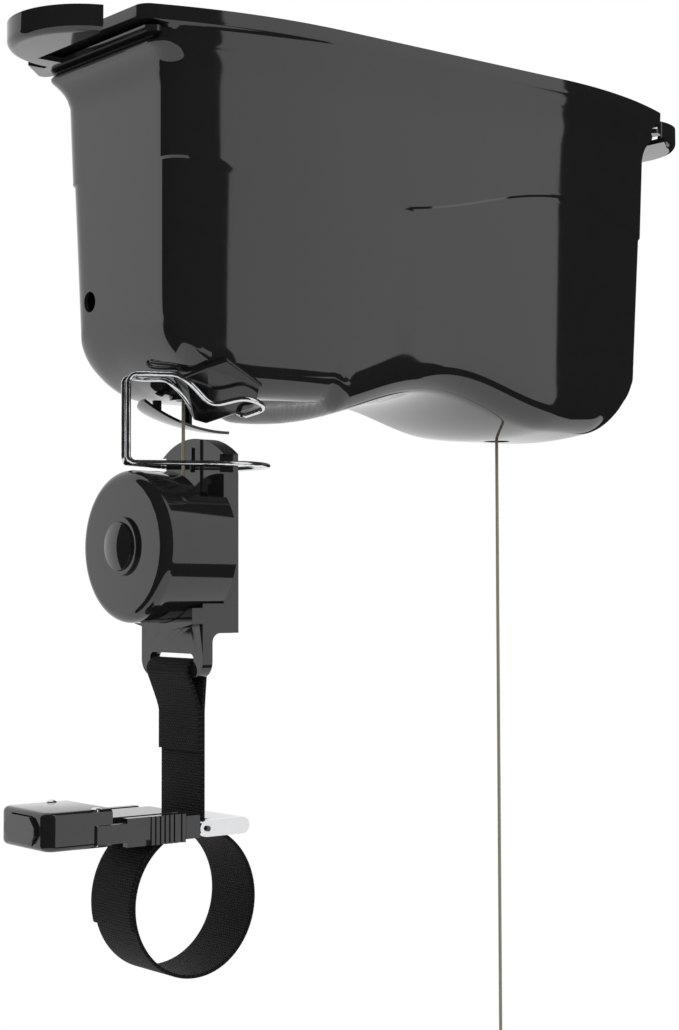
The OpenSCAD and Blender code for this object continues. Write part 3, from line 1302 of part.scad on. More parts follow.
// Right cable with its crimped ferrule, swivel and saddle hook
module right_cable() {
    color(wire_grey) tube([[right_cable_x, 0, exit_right_z], [right_cable_x, 0, -right_cable_end]],
        cable_r, cable_sides, [0, 1, 0]);
}
module hook_ferrule() {
    color(steel) translate([right_cable_x, 0, -right_cable_end - ferrule_len])
        cylinder(d = ferrule_d, h = ferrule_len, $fn = fine);
}
swivel_r = 7;
swivel_h = 10;
swivel_roof = 3;
stud_room_h = 3;
stud_head_h = 2.6;
stud_lip = 2;
neck_r = 3;
module hook_swivel() {
    color(chrome) translate([right_cable_x, 0, -right_cable_end - ferrule_len - swivel_h]) difference() {
        cylinder(r = swivel_r, h = swivel_h, $fn = fine);
        translate([0, 0, -cut]) cylinder(r = neck_r + run_gap, h = swivel_h - swivel_roof + cut, $fn = fine);
        translate([0, 0, swivel_h - swivel_roof - stud_room_h - run_gap])
            cylinder(r = neck_r + stud_lip + run_gap, h = stud_room_h + run_gap, $fn = fine);
    }
}
hook_top = -right_cable_end - ferrule_len - swivel_h;
hook_neck = 14;
hook_from = -140; // angle where the hook's tip starts
hook_sweep = 230;
sleeve_sweep = 200;
sleeve_over = 10; // how far the sleeve's bore is cut past its ends, in degrees
module saddle_hook() {
    c = hook_r + hook_d / 2;
    stud_z = hook_top + swivel_h - swivel_roof - stud_room_h;
    color(steel) union() {
        translate([right_cable_x, 0, hook_top - hook_neck])
            cylinder(r = neck_r, h = stud_z + stud_head_h / 2 - hook_top + hook_neck, $fn = fine);
        translate([right_cable_x, 0, stud_z]) cylinder(r = neck_r + stud_lip, h = stud_head_h, $fn = fine);
        translate([right_cable_x, 0, hook_top - hook_neck - c]) rotate([90, 0, 0])
            rotate_extrude(angle = hook_sweep, start = hook_from, $fn = fine)
                translate([c, 0]) circle(r = hook_d / 2, $fn = soft);
    }
}
module hook_sleeve() {
    r = hook_d / 2;
    c = hook_r + r;
    color(inner_black) translate([right_cable_x, 0, hook_top - hook_neck - c]) rotate([90, 0, 0])
        difference() {
        rotate_extrude(angle = sleeve_sweep, start = hook_from, $fn = fine)
            translate([c, 0]) circle(r = r + sleeve_t, $fn = soft);
        rotate_extrude(angle = sleeve_sweep + 4 * sleeve_over, start = hook_from - sleeve_over, $fn = fine)
            translate([c, 0]) circle(r = r + 3 * eps, $fn = soft);
    }
}

housing_shell();
shell_screws();
ear_left();
ear_right();
chassis_plate();
bracket_front();
bracket_back();
shaft_bush_front();
shaft_bush_back();
main_shaft();
cable_drum();
cable_windings();
ratchet_wheel();
pawl();
pawl_pin();
spring_arbor();
spring_case();
spring_case_cover();
mainspring();
pulley_yoke();
guide_pulley();
guide_pulley_pin();
grommet_left();
grommet_right();
cable_run_left();
cable_run_right();
claws();
cable_guard();
guide_wire();
left_cable();
hanger_plate();
spool_cover();
cover_screws();
spool_axle();
cable_spool();
spool_winding();
entry_bush();
bezel();
push_button();
button_spring();
upper_strap();
handlebar_loop();
buckle_body();
thumb_button();
thumb_spring();
release_arm_front();
release_arm_back();
arm_pins();
buckle_tongue();
chrome_stirrup();
right_cable();
hook_ferrule();
hook_swivel();
saddle_hook();
hook_sleeve();
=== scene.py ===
"""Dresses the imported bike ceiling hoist: housing, guide wire, hanger, webbing, buckle and hook."""

import json
import math

import bmesh
import bpy
from mathutils import Matrix, Vector

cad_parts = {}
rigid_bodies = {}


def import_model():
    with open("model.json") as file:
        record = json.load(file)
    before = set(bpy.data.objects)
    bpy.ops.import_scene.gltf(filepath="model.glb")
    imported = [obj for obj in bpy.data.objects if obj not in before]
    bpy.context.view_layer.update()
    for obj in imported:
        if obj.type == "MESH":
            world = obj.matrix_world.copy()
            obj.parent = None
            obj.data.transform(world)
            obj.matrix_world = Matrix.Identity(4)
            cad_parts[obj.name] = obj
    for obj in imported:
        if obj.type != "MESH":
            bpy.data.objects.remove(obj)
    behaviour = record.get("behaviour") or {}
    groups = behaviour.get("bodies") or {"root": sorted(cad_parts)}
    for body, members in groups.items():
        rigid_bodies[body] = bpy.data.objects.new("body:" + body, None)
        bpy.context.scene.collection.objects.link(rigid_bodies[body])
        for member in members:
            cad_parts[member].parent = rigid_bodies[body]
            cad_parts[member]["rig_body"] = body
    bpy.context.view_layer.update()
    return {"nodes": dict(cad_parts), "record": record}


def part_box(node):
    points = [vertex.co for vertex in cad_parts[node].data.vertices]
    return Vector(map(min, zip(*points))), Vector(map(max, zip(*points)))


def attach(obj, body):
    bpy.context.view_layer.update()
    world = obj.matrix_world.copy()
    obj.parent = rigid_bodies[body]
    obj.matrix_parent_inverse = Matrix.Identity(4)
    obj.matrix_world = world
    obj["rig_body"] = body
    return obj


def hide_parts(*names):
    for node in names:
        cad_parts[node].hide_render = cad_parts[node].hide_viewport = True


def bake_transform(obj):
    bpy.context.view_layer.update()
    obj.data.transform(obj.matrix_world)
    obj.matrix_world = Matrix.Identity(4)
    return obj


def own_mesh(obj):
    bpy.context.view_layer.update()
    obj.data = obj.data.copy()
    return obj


bl_info = {
    "name": "Bike ceiling hoist",
    "version": (1, 0, 0),
    "blender": (4, 5, 0),
    "location": "View3D > Sidebar > Hoist",
    "description": "Builds the looks of a bike ceiling hoist over its solids",
    "category": "Object",
}

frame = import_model()
MM = 0.001
# Distances within which vertices are merged: in a copy of a solid, and in a piece built here
COPY_MERGE = 0.001 * MM
BUILT_MERGE = 0.02 * MM


def linear(hex_colour):
    """An sRGB hex value as a linear RGBA colour."""
    parts = [int(hex_colour[i : i + 2], 16) / 255 for i in (1, 3, 5)]
    return tuple(
        c / 12.92 if c <= 0.04045 else ((c + 0.055) / 1.055) ** 2.4 for c in parts
    ) + (1.0,)


def length(name, description, default_mm):
    """A length that a user may change, given in mm."""
    return bpy.props.FloatProperty(
        name=name, description=description, default=default_mm * MM, unit="LENGTH"
    )


def angle(name, description, default_deg):
    """An angle that a user may change, given in degrees."""
    return bpy.props.FloatProperty(
        name=name, description=description, default=math.radians(default_deg), subtype="ANGLE"
    )


def colour(name, description, hex_colour):
    """A colour that a user may change, given as sRGB hex."""
    return bpy.props.FloatVectorProperty(
        name=name,
        description=description,
        size=4,
        subtype="COLOR",
        min=0.0,
        max=1.0,
        default=linear(hex_colour),
    )


class HousingSizes(bpy.types.PropertyGroup):
    """Driving sizes of the moulded housing."""

    half_length: length("Half length", "Half length of the wall at the flare", 184)
    half_width: length("Half width", "Half width of the wall at mid-length", 71)
    depth: length("Depth", "Depth from the ceiling to the lobes' lower edge", 205)
    belly: length("Belly", "How far the belly hangs below that edge", 6)
    corner: length("Corner radius", "Radius of the vertical corners", 17)
    end_curve: length("End curve", "Radius of the curve under each end wall", 50)
    edge_curve: length("Edge curve", "Radius of the lower long edges", 17)
    bow: length("Bow radius", "Radius of the bow of the long walls", 297)
    straight: length("Straight half", "Half length of the unbowed middle", 85)
    wall: length("Wall", "Wall thickness of the moulding", 2.5)
    shift: length("Shift", "How far the walls stand off the flange's centre", 3)
    flange_half_length: length("Flange half length", "Half length of the flange", 201.4)
    flange_half_width: length("Flange half width", "Half width of the flange", 77.6)
    flange_corner: length("Flange corner", "Corner radius of the flange", 8)
    flare: length("Flare depth", "Depth at which the flare meets the wall", 32)
    seam: length("Step line", "Depth of the step line round the body", 80)
    seam_step: length("Step", "How far the lower body is set in", 1.2)
    arch_rise: length("Arch rise", "Rise of the arch between the lobes", 18)
    arch_half: length("Arch half width", "Half width of the arch", 95)
    left_back: length("Left lobe back", "Depth of the left lobe at its back", 198)
    left_front: length("Left lobe front", "Depth of the left lobe at its front", 205)
    exit_radius: length("Exit radius", "Radius of the cable exits", 8)
    hole_radius: length("Hole radius", "Radius of the adjuster hole", 5.75)
    hole_y: length("Hole place", "Place of the adjuster hole across the end wall", 32.7)
    hole_z: length("Hole depth", "Depth of the adjuster hole", 143.3)


class HangerSizes(bpy.types.PropertyGroup):
    """Driving sizes of cables, wire and webbing."""

    cable: length("Cable", "Cable diameter", 2)
    left_cable_x: length("Left cable", "Place of the left cable, towards -X", 136)
    right_cable_x: length("Right cable", "Place of the right cable", 105.3)
    web_width: length("Webbing width", "Width of the webbing", 38.1)
    web_thick: length("Webbing thickness", "Thickness of the webbing", 1.95)
    loop_radius: length("Loop radius", "Outer radius of the handlebar loop", 40.4)
    loop_x: length("Loop place", "Centre of the loop, towards -X", 141)
    lap_start: angle("Lap start", "Where the loop's sewn lap starts, from +X", 105)
    lap_end: angle("Lap end", "Where the loop's sewn lap ends, from +X", 196)
    bar_x: length("Bar place", "Centre of the tab's bar, towards -X", 140.4)
    bar_z: length("Bar depth", "Depth of the bar's centre", 346.7)
    wrap: length("Wrap radius", "Inner radius of the strap round the bar", 4.97)
    strap_x: length("Strap place", "Face between the strap's two layers, towards -X", 136.975)
    join_z: length("Join depth", "Depth from which the two layers lie flat", 367)
    selvage: length("Selvage", "Radius of the webbing's rolled edges", 0.7)
    loop_z: length("Loop depth", "Depth of the loop's centre", 470)
    web_rib: length("Webbing rib", "Pitch of the ribs across the webbing", 1.5)


class BuckleSizes(bpy.types.PropertyGroup):
    """Driving sizes of the buckle's body."""

    end_edge: length("End edge", "Radius of the upright edges at the button's end", 6.5)
    rim_edge: length("Rim edge", "Radius of the upper and lower rims", 3)
    pivot_y: length("Arm place", "Distance of the arm pins from the middle", 22)
    slot_half: length("Slot half width", "Half width of the slots for the arms", 4)
    slot_top: length("Slot top", "Depth of the slots' upper face", 423.75)
    slot_low: length("Slot foot", "Depth of the slots' lower face", 434.25)
    pocket_back: length("Pocket back", "Where the tongue's pocket ends, from the end face", 11)
    pocket_half: length("Pocket half width", "Half width of the pocket", 16)
    wall: length("Wall", "Wall above and below the pocket", 2)
    window_depth: length("Window depth", "Depth of the button's window", 4.6)
    window_cut: length("Window corner", "Cut corners of the button's window", 5)
    gap: length("Gap", "Free gap round the moving pieces", 0.4)


class HoistColours(bpy.types.PropertyGroup):
    """Colours of the hoist's finishes."""

    abs_black: colour("ABS", "Glossy moulded ABS", "#1b1b1c")
    nylon_black: colour("Nylon", "Polished moulded nylon", "#161617")
    webbing: colour("Webbing", "Dyed polyester webbing", "#101012")
    chrome: colour("Chrome", "Chromed wire and stirrup", "#e2e3e5")
    zinc: colour("Zinc", "Zinc plated steel", "#a9abad")
    brass: colour("Brass", "Brass bushes", "#b8a062")
    cable: colour("Cable", "Stranded steel cable under a clear coat", "#8f8973")
    rubber: colour("Rubber", "Rubber sleeve", "#1a1a1a")
    backdrop: colour("Backdrop", "Floor and backdrop", "#f4f4f4")


def sizes():
    return bpy.context.scene.hoist_housing


def hanger():
    return bpy.context.scene.hoist_hanger


def buckle():
    return bpy.context.scene.hoist_buckle


def colours():
    return bpy.context.scene.hoist_colours


# Meshes


def new_piece(name, bm, material, body=None, replaces=(), sharp=35.0):
    """Turns a bmesh into a piece with smooth faces, sharp past an angle, in a material, on a body."""
    bmesh.ops.recalc_face_normals(bm, faces=bm.faces)
    mesh = bpy.data.meshes.new(name)
    bm.to_mesh(mesh)
    bm.free()
    piece = bpy.data.objects.new(name, mesh)
    bpy.context.scene.collection.objects.link(piece)
    mesh.polygons.foreach_set("use_smooth", [True] * len(mesh.polygons))
    mesh.set_sharp_from_angle(angle=math.radians(sharp))
    mesh.materials.append(material)
    if body:
        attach(piece, body)
    if replaces:
        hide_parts(*replaces)
    return piece


def merged_copy(node):
    """A solid's own mesh with its loose triangles joined."""
    bm = bmesh.new()
    bm.from_mesh(frame["nodes"][node].data)
    bmesh.ops.remove_doubles(bm, verts=bm.verts, dist=COPY_MERGE)
    return bm


def bake_modifiers(piece):
    """Applies the piece's modifiers to its mesh."""
    graph = bpy.context.evaluated_depsgraph_get()
    mesh = bpy.data.meshes.new_from_object(piece.evaluated_get(graph))
    piece.modifiers.clear()
    piece.data = mesh
    return piece


def ring_of(bm, points):
    """A closed loop of edges through points."""
    verts = [bm.verts.new(p) for p in points]
    edges = [bm.edges.new((verts[i - 1], verts[i])) for i in range(len(verts))]
    return verts, edges


def extruded(made):
    """The new vertices of an extrusion, and the edges that run between them."""
    fresh = [v for v in made if isinstance(v, bmesh.types.BMVert)]
    ends = set(fresh)
    line = [e for e in made if isinstance(e, bmesh.types.BMEdge) and ends.issuperset(e.verts)]
    return fresh, line


def extrude_ring(bm, verts, edges, points):
    """Extrudes a loop of edges and sets the new loop on points, kept in the same order."""
    made, loop = extruded(bmesh.ops.extrude_edge_only(bm, edges=edges)["geom"])
    by_place = {tuple(v.co): v for v in made}
    fresh = [by_place[tuple(v.co)] for v in verts]
    for vert, point in zip(fresh, points):
        vert.co = point
    return fresh, loop


def tube(bm, path, radius, sides=20, along=None):
    """Sweeps a circle along a path with frames carried from point to point, and closes both ends."""
    path = [Vector(p) for p in path]
    way = (path[1] - path[0]).normalized()
    side = way.orthogonal().normalized()
    verts = edges = None
    first = None
    travelled = 0.0
    for i, place in enumerate(path):
        ahead = path[min(i + 1, len(path) - 1)] - path[max(i - 1, 0)]
        way = ahead.normalized()
        side = (side - way * side.dot(way)).normalized()
        other = way.cross(side)
        turn = [2 * math.pi * k / sides for k in range(sides)]
        ring = [place + radius * (math.cos(t) * side + math.sin(t) * other) for t in turn]
        if i:
            travelled += (place - path[i - 1]).length
            verts, edges = extrude_ring(bm, verts, edges, ring)
        else:
            verts, edges = ring_of(bm, ring)
            first = list(edges)
        if along is not None:
            for vert in verts:
                vert[along] = travelled
    bmesh.ops.holes_fill(bm, edges=first + edges, sides=sides)
    return bm


def rounded(path, passes=2):
    """Cuts each corner of a path, ends kept."""
    for _ in range(passes):
        cut = [path[0]]
        for a, b in zip(path, path[1:]):
            a, b = Vector(a), Vector(b)
            cut += [a.lerp(b, 0.25), a.lerp(b, 0.75)]
        path = cut + [path[-1]]
    return path


def arc_points(centre, radius, start, stop, steps):
    """Points (x, z) of an arc, angles in degrees."""
    turns = [math.radians(start + (stop - start) * i / steps) for i in range(steps + 1)]
    return [
        (centre[0] + radius * math.cos(t), centre[1] + radius * math.sin(t))
        for t in turns
    ]


# Materials


def add(tree, kind, inputs=None, **settings):
    """Adds a node, sets its properties and sockets, and links what is given as a socket or a node."""
    node = tree.nodes.new(kind)
    for key, value in settings.items():
        setattr(node, key, value)
    for key, value in (inputs or {}).items():
        if isinstance(value, bpy.types.Node):
            value = value.outputs[0]
        if isinstance(value, bpy.types.NodeSocket):
            tree.links.new(value, node.inputs[key])
        else:
            node.inputs[key].default_value = value
    return node


def new_material(name, **shader):
    """A material with its Principled shader's own sockets set, and its node tree."""
    material = bpy.data.materials.new(name)
    material.use_nodes = True
    sockets = material.node_tree.nodes["Principled BSDF"].inputs
    for socket, value in shader.items():
        sockets[socket.replace("_", " ")].default_value = value
    return material, material.node_tree


def vary(tree, base, fac, shade, rough, height, strength, relief_mm):
    """Varies colour between two shares and roughness between two values by a factor, with relief."""
    low, high = ((*(min(1.0, c * part) for c in base[:3]), 1.0) for part in shade)
    tone = add(tree, "ShaderNodeMix", {0: fac, 6: low, 7: high}, data_type="RGBA")
    relief = {"Height": height, "Strength": strength, "Distance": relief_mm * MM}
    bump = add(tree, "ShaderNodeBump", relief)
    sockets = tree.nodes["Principled BSDF"].inputs
    tree.links.new(tone.outputs[2], sockets["Base Color"])
    tree.links.new(bump.outputs["Normal"], sockets["Normal"])
    if rough:
        low, high = rough
        haze = add(tree, "ShaderNodeMapRange", {"Value": fac, "To Min": low, "To Max": high})
        tree.links.new(haze.outputs["Result"], sockets["Roughness"])


def ridges(tree, value):
    """Rounded ridges, one for each whole step of a value."""
    turned = add(tree, "ShaderNodeMath", {0: value, 1: math.pi}, operation="MULTIPLY")
    sine = add(tree, "ShaderNodeMath", {0: turned}, operation="SINE")
    return add(tree, "ShaderNodeMath", {0: sine}, operation="ABSOLUTE")


def moulded_abs():
    # Injection moulded high gloss ABS: deep black with crisp reflections and a faint sink-mark wave
    material, tree = new_material("moulded_gloss_abs", IOR=1.66)
    place = add(tree, "ShaderNodeTexCoord").outputs["Object"]
    wave = add(tree, "ShaderNodeTexNoise", {"Vector": place, "Scale": 1 / (26 * MM), "Detail": 1.0})
    wipe = add(tree, "ShaderNodeTexNoise", {"Vector": place, "Scale": 1 / (9 * MM), "Detail": 4.0})
    vary(
        tree,
        colours().abs_black,
        wipe,
        shade=(0.9, 1.1),
        rough=(0.035, 0.075),
        height=wave,
        strength=0.05,
        relief_mm=0.4,
    )
    return material


def moulded_nylon():
    # Injection moulded nylon from a polished tool: dark, a little softer than the ABS
    material, tree = new_material("polished_nylon", IOR=1.57)
    place = add(tree, "ShaderNodeTexCoord").outputs["Object"]
    grain = add(tree, "ShaderNodeTexNoise", {"Vector": place, "Scale": 1 / (0.5 * MM), "Detail": 3.0})
    cloud = add(tree, "ShaderNodeTexNoise", {"Vector": place, "Scale": 1 / (14 * MM), "Detail": 2.0})
    vary(
        tree,
        colours().nylon_black,
        cloud,
        shade=(0.85, 1.15),
        rough=(0.09, 0.16),
        height=grain,
        strength=0.04,
        relief_mm=0.03,
    )
    return material


def bright_chrome():
    # Decorative chrome over nickel: mirror bright, with faint polishing waviness
    material, tree = new_material("bright_chrome", Metallic=1.0)
    place = add(tree, "ShaderNodeTexCoord").outputs["Object"]
    haze = add(tree, "ShaderNodeTexNoise", {"Vector": place, "Scale": 1 / (5 * MM), "Detail": 3.0})
    vary(
        tree,
        colours().chrome,
        haze,
        shade=(0.94, 1.04),
        rough=(0.12, 0.2),
        height=haze,
        strength=0.06,
        relief_mm=0.2,
    )
    return material


def plated(name, base, grain_mm, rough):
    # Zinc plated or plain machined metal: a soft spangle and fine drawn lines
    material, tree = new_material(name, Metallic=1.0)
    place = add(tree, "ShaderNodeTexCoord").outputs["Object"]
    drawn = add(tree, "ShaderNodeMapping", {"Vector": place, "Scale": (0.15, 1.0, 1.0)})
    grain = {"Vector": drawn, "Scale": 1 / (grain_mm * MM), "Detail": 3.0}
    lines = add(tree, "ShaderNodeTexNoise", grain)
    vary(
        tree,
        base,
        lines,
        shade=(0.8, 1.1),
        rough=(rough * 0.8, rough * 1.3),
        height=lines,
        strength=0.1,
        relief_mm=0.03,
    )
    return material


def woven_polyester():
    # Ribbed polyester webbing: weft ribs across the band, each broken by warp yarns in a brick bond.
    # The colour is painted lighter on the rib tops as a painted highlight and darker in the grooves
    # as painted shade, in patches that vary at random.
    # Its UV map is in metres, so the yarn spacing is real.
    material, tree = new_material(
        "woven_polyester",
        Roughness=0.72,
        IOR=1.5,
        Sheen_Weight=0.03,
        Sheen_Roughness=0.4,
        Specular_IOR_Level=0.22,
    )
    pitch = hanger().web_rib
    uv = add(tree, "ShaderNodeSeparateXYZ", {0: add(tree, "ShaderNodeUVMap")}).outputs
    row = add(tree, "ShaderNodeMath", {0: uv["Y"], 1: pitch}, operation="DIVIDE")
    whole = add(tree, "ShaderNodeMath", {0: row}, operation="FLOOR")
    warp = add(tree, "ShaderNodeMath", {0: uv["X"], 1: pitch * 1.1}, operation="DIVIDE")
    bond = add(tree, "ShaderNodeMath", {0: whole, 1: 0.5, 2: warp}, operation="MULTIPLY_ADD")
    yarn = ridges(tree, bond)
    lift = add(tree, "ShaderNodeMath", {0: yarn, 1: 0.75, 2: 0.25}, operation="MULTIPLY_ADD")
    knot = add(tree, "ShaderNodeMath", {0: ridges(tree, row), 1: lift}, operation="MULTIPLY")
    place = add(tree, "ShaderNodeTexCoord").outputs["Object"]
    fuzz = add(tree, "ShaderNodeTexNoise", {"Vector": place, "Scale": 1 / (0.6 * MM), "Detail": 2.0})
    highlight_patches = add(tree, "ShaderNodeTexNoise", {"Vector": place, "Scale": 1 / (12 * MM), "Detail": 2.0})
    fade = add(tree, "ShaderNodeMapRange", {"Value": highlight_patches, "To Min": 0.6, "To Max": 1.2})
    # Painted light: the rib pattern lightens the colour on the rib tops (painted highlight) and
    # darkens it in the grooves (painted shade), scaled by random patches
    light = add(tree, "ShaderNodeMath", {0: knot, 1: fade}, operation="MULTIPLY")
    height = add(tree, "ShaderNodeMath", {0: fuzz, 1: 0.25, 2: knot}, operation="MULTIPLY_ADD")
    vary(
        tree,
        colours().webbing,
        light,
        shade=(0.3, 2.6),
        rough=None,
        height=height,
        strength=0.9,
        relief_mm=0.35,
    )
    return material


def stranded_cable():
    # Seven-strand steel cable under a thin clear coat, drawn with a coarse lay so that it shows. The
    # strands' crowns are painted lighter as a painted highlight and the grooves between them darker
    # as painted shade.
    # UV: u runs once round, v is metres along.
    material, tree = new_material("coated_wire_rope", Metallic=0.1, Coat_Weight=0.5)
    uv = add(tree, "ShaderNodeSeparateXYZ", {0: add(tree, "ShaderNodeUVMap")}).outputs
    lay = add(tree, "ShaderNodeMath", {0: uv["Y"], 1: 9 * MM}, operation="DIVIDE")
    turn = add(tree, "ShaderNodeMath", {0: uv["X"], 1: lay}, operation="ADD")
    strands = add(tree, "ShaderNodeMath", {0: turn, 1: 6}, operation="MULTIPLY")
    strand = ridges(tree, strands)
    # The strand ridges set the colour too: painted shade in the grooves, painted highlight on the
    # crowns
    vary(
        tree,
        colours().cable,
        strand,
        shade=(0.5, 1.3),
        rough=(0.5, 0.3),
        height=strand,
        strength=0.6,
        relief_mm=0.25,
    )
    return material


def dipped_rubber():
    # Dipped rubber sleeve: matt with a soft uneven skin
    material, tree = new_material("dipped_rubber", IOR=1.52)
    place = add(tree, "ShaderNodeTexCoord").outputs["Object"]
    skin = add(tree, "ShaderNodeTexNoise", {"Vector": place, "Scale": 1 / (3 * MM), "Detail": 4.0})
    vary(
        tree,
        colours().rubber,
        skin,
        shade=(0.8, 1.4),
        rough=(0.55, 0.75),
        height=skin,
        strength=0.2,
        relief_mm=0.2,
    )
    return material


FINISH = {}


def finishes():
    """The materials by name, made once."""
    if not FINISH:
        c = colours()
        FINISH["housing_black"] = moulded_abs()
        FINISH["inner_black"] = moulded_nylon()
        FINISH["chrome"] = bright_chrome()
        FINISH["steel"] = plated("zinc_plated_steel", c.zinc, 0.8, 0.3)
        FINISH["brass"] = plated("turned_brass", c.brass, 0.5, 0.25)
        FINISH["cable"] = stranded_cable()
        FINISH["webbing"] = woven_polyester()
        FINISH["sleeve"] = dipped_rubber()
    return FINISH


# Housing: the same rules as the solid's, with closer rings


def side_y(x, b):
    """Y of the long wall at x: straight in the middle, then bowed."""
    s = sizes()
    return b - max(0.0, abs(x) - s.straight) ** 2 / (2 * s.bow)


def corner_place(a, b, r):
    """Turn of the bow at the corner, and the corner's centre across Y."""
    s = sizes()
    turn = math.atan((a - r - s.straight) / s.bow)
    return turn, side_y(a - r + r * math.sin(turn), b) - r * math.cos(turn)


SIDE_STEPS = 44
CORNER_STEPS = 10
END_STEPS = 8


def outline(a, b, r):
    """Plan outline with bowed sides, round corners and flat ends, from (0, b) clockwise."""
    turn, yc = corner_place(a, b, r)
    last = a - r + r * math.sin(turn)
    quarter = [(last * i / SIDE_STEPS, side_y(last * i / SIDE_STEPS, b)) for i in range(SIDE_STEPS)]
    for i in range(CORNER_STEPS + 1):
        t = (math.pi / 2 - turn) * (1 - i / CORNER_STEPS)
        quarter.append((a - r + r * math.cos(t), yc + r * math.sin(t)))
    quarter += [(a, yc * (1 - i / END_STEPS)) for i in range(1, END_STEPS)]
    back = [(x, -y) for x, y in reversed(quarter)]
    right = quarter + [(a, 0.0)] + back
    left = [(-x, y) for x, y in reversed(right[1:-1])]
    return right + left


def half_width(x, a, b, r):
    """Half width of the plan outline at x."""
    if abs(x) < a - r:
        return side_y(x, b)
    return corner_place(a, b, r)[1] + math.sqrt(max(0.0, r * r - (abs(x) - (a - r)) ** 2))


def share(v, start, stop):
    """How far a value is from start to stop, held between 0 and 1."""
    return max(0.0, min(1.0, (v - start) / (stop - start)))


def end_fall(x, a):
    """Height of the curve under an end wall, as a share of its radius."""
    s = sizes()
    u = min(s.end_curve, max(0.0, abs(x) - (a - s.end_curve)))
    return math.sqrt(1 - (u / s.end_curve) ** 2)


# The left lobe's edge curves, as a share of the housing's
LIMIT_EDGE = 0.85
# Shares of the half width between which the left lobe deepens, from its back to its front
LOBE_ACROSS = (0.3, -1.0)
# Shares of the half length over which the left lobe's shallower depth lets go
LOBE_ALONG = (-0.44, -0.2)
CREASE_REACH = 22 * MM


def soft_min(a, b, reach):
    """The lesser of two depths, with the crease between them eased over a reach."""
    near = max(0.0, 1 - abs(a - b) / reach)
    return min(a, b) - near * near * reach / 4


def depth_at(x, y, a, b):
    """Depth of the underside: end curves, edge curves, belly, arch and the shallower left lobe."""
    s = sizes()
    k = end_fall(x, a)
    w = half_width(x, a, b, s.corner)
    u = min(s.edge_curve, max(0.0, abs(y) - (w - s.edge_curve)))
    lift = s.edge_curve - math.sqrt(max(0.0, s.edge_curve**2 - u * u))
    arch = s.arch_rise * math.cos(math.pi / 2 * min(1.0, abs(x) / s.arch_half)) ** 2
    full = s.depth - s.end_curve + k * (s.end_curve - lift) - arch
    full += k * s.belly * (1 - min(1.0, abs(y) / w) ** 2)
    front = share(y / w, *LOBE_ACROSS)
    limit = s.left_back + (s.left_front - s.left_back) * front
    limit += s.arch_half * share(x / s.half_length, *LOBE_ALONG)
    limit -= s.end_curve * (1 - end_fall(x, s.half_length)) * LIMIT_EDGE
    return soft_min(full, limit - k * lift * LIMIT_EDGE, CREASE_REACH)


# Flare profile: depth share, overhang share at the ends, overhang share at the sides
FLARE = (
    (0, 1, 1),
    (0.234, 0.98, 0.97),
    (0.25, 0.90, 0.94),
    (0.29, 0.42, 0.86),
    (0.46, 0.36, 0.62),
    (0.50, 0.55, 0.55),
    (0.57, 0.55, 0.45),
    (0.64, 0.34, 0.34),
    (0.80, 0.10, 0.12),
    (1, 0, 0),
)
# Step line: place as a share of the half length, and depth as a share of its mean depth
SEAM_LINE = (
    (-1, 0.93),
    (-0.85, 1),
    (-0.8, 1.01),
    (-0.25, 1.14),
    (0, 1.06),
    (0.14, 0.98),
    (0.34, 0.88),
    (0.51, 0.85),
    (0.7, 0.89),
    (0.88, 0.98),
    (1, 1.06),
)
# How much of the step there is, by the same places
SEAM_FADE = ((-1, 1), (-0.9, 1), (-0.8, 0), (-0.3, 0), (-0.12, 1), (1, 1))
SEAM_HALF = 0.6 * MM
END_DRAFT = math.tan(math.radians(1.3))
SIDE_DRAFT = math.tan(math.radians(2.2))
# Heights of the rings above and below the step line, as shares of each wall
UPPER_RINGS = (0.15, 0.3, 0.5, 0.7, 0.85, 0.95, 1)
LOWER_RINGS = (0, 0.03, 0.08, 0.16, 0.26, 0.36, 0.46, 0.56, 0.66, 0.76, 0.86, 0.94, 1)
# Rings of the underside: the first one's share of the way in, those over the edge curve, those within
FIRST_IN = 0.004
EDGE_RINGS = 12
INNER_RINGS = 14
# How far the underside's rings draw in along the housing before they meet on a line
UNDER_TAPER = 0.38


def lookup(x, table):
    """Value at x in a table of pairs, with straight runs between them."""
    for (x0, y0), (x1, y1) in zip(table, table[1:]):
        if x <= x1:
            return y0 + (y1 - y0) * share(x, x0, x1)
    return table[-1][1]


def smooth_lookup(x, table, reach=0.09):
    """The same with its corners eased over a reach."""
    return sum(lookup(x + reach * k / 3, table) for k in (-3, -2, -1, 0, 1, 2, 3)) / 7


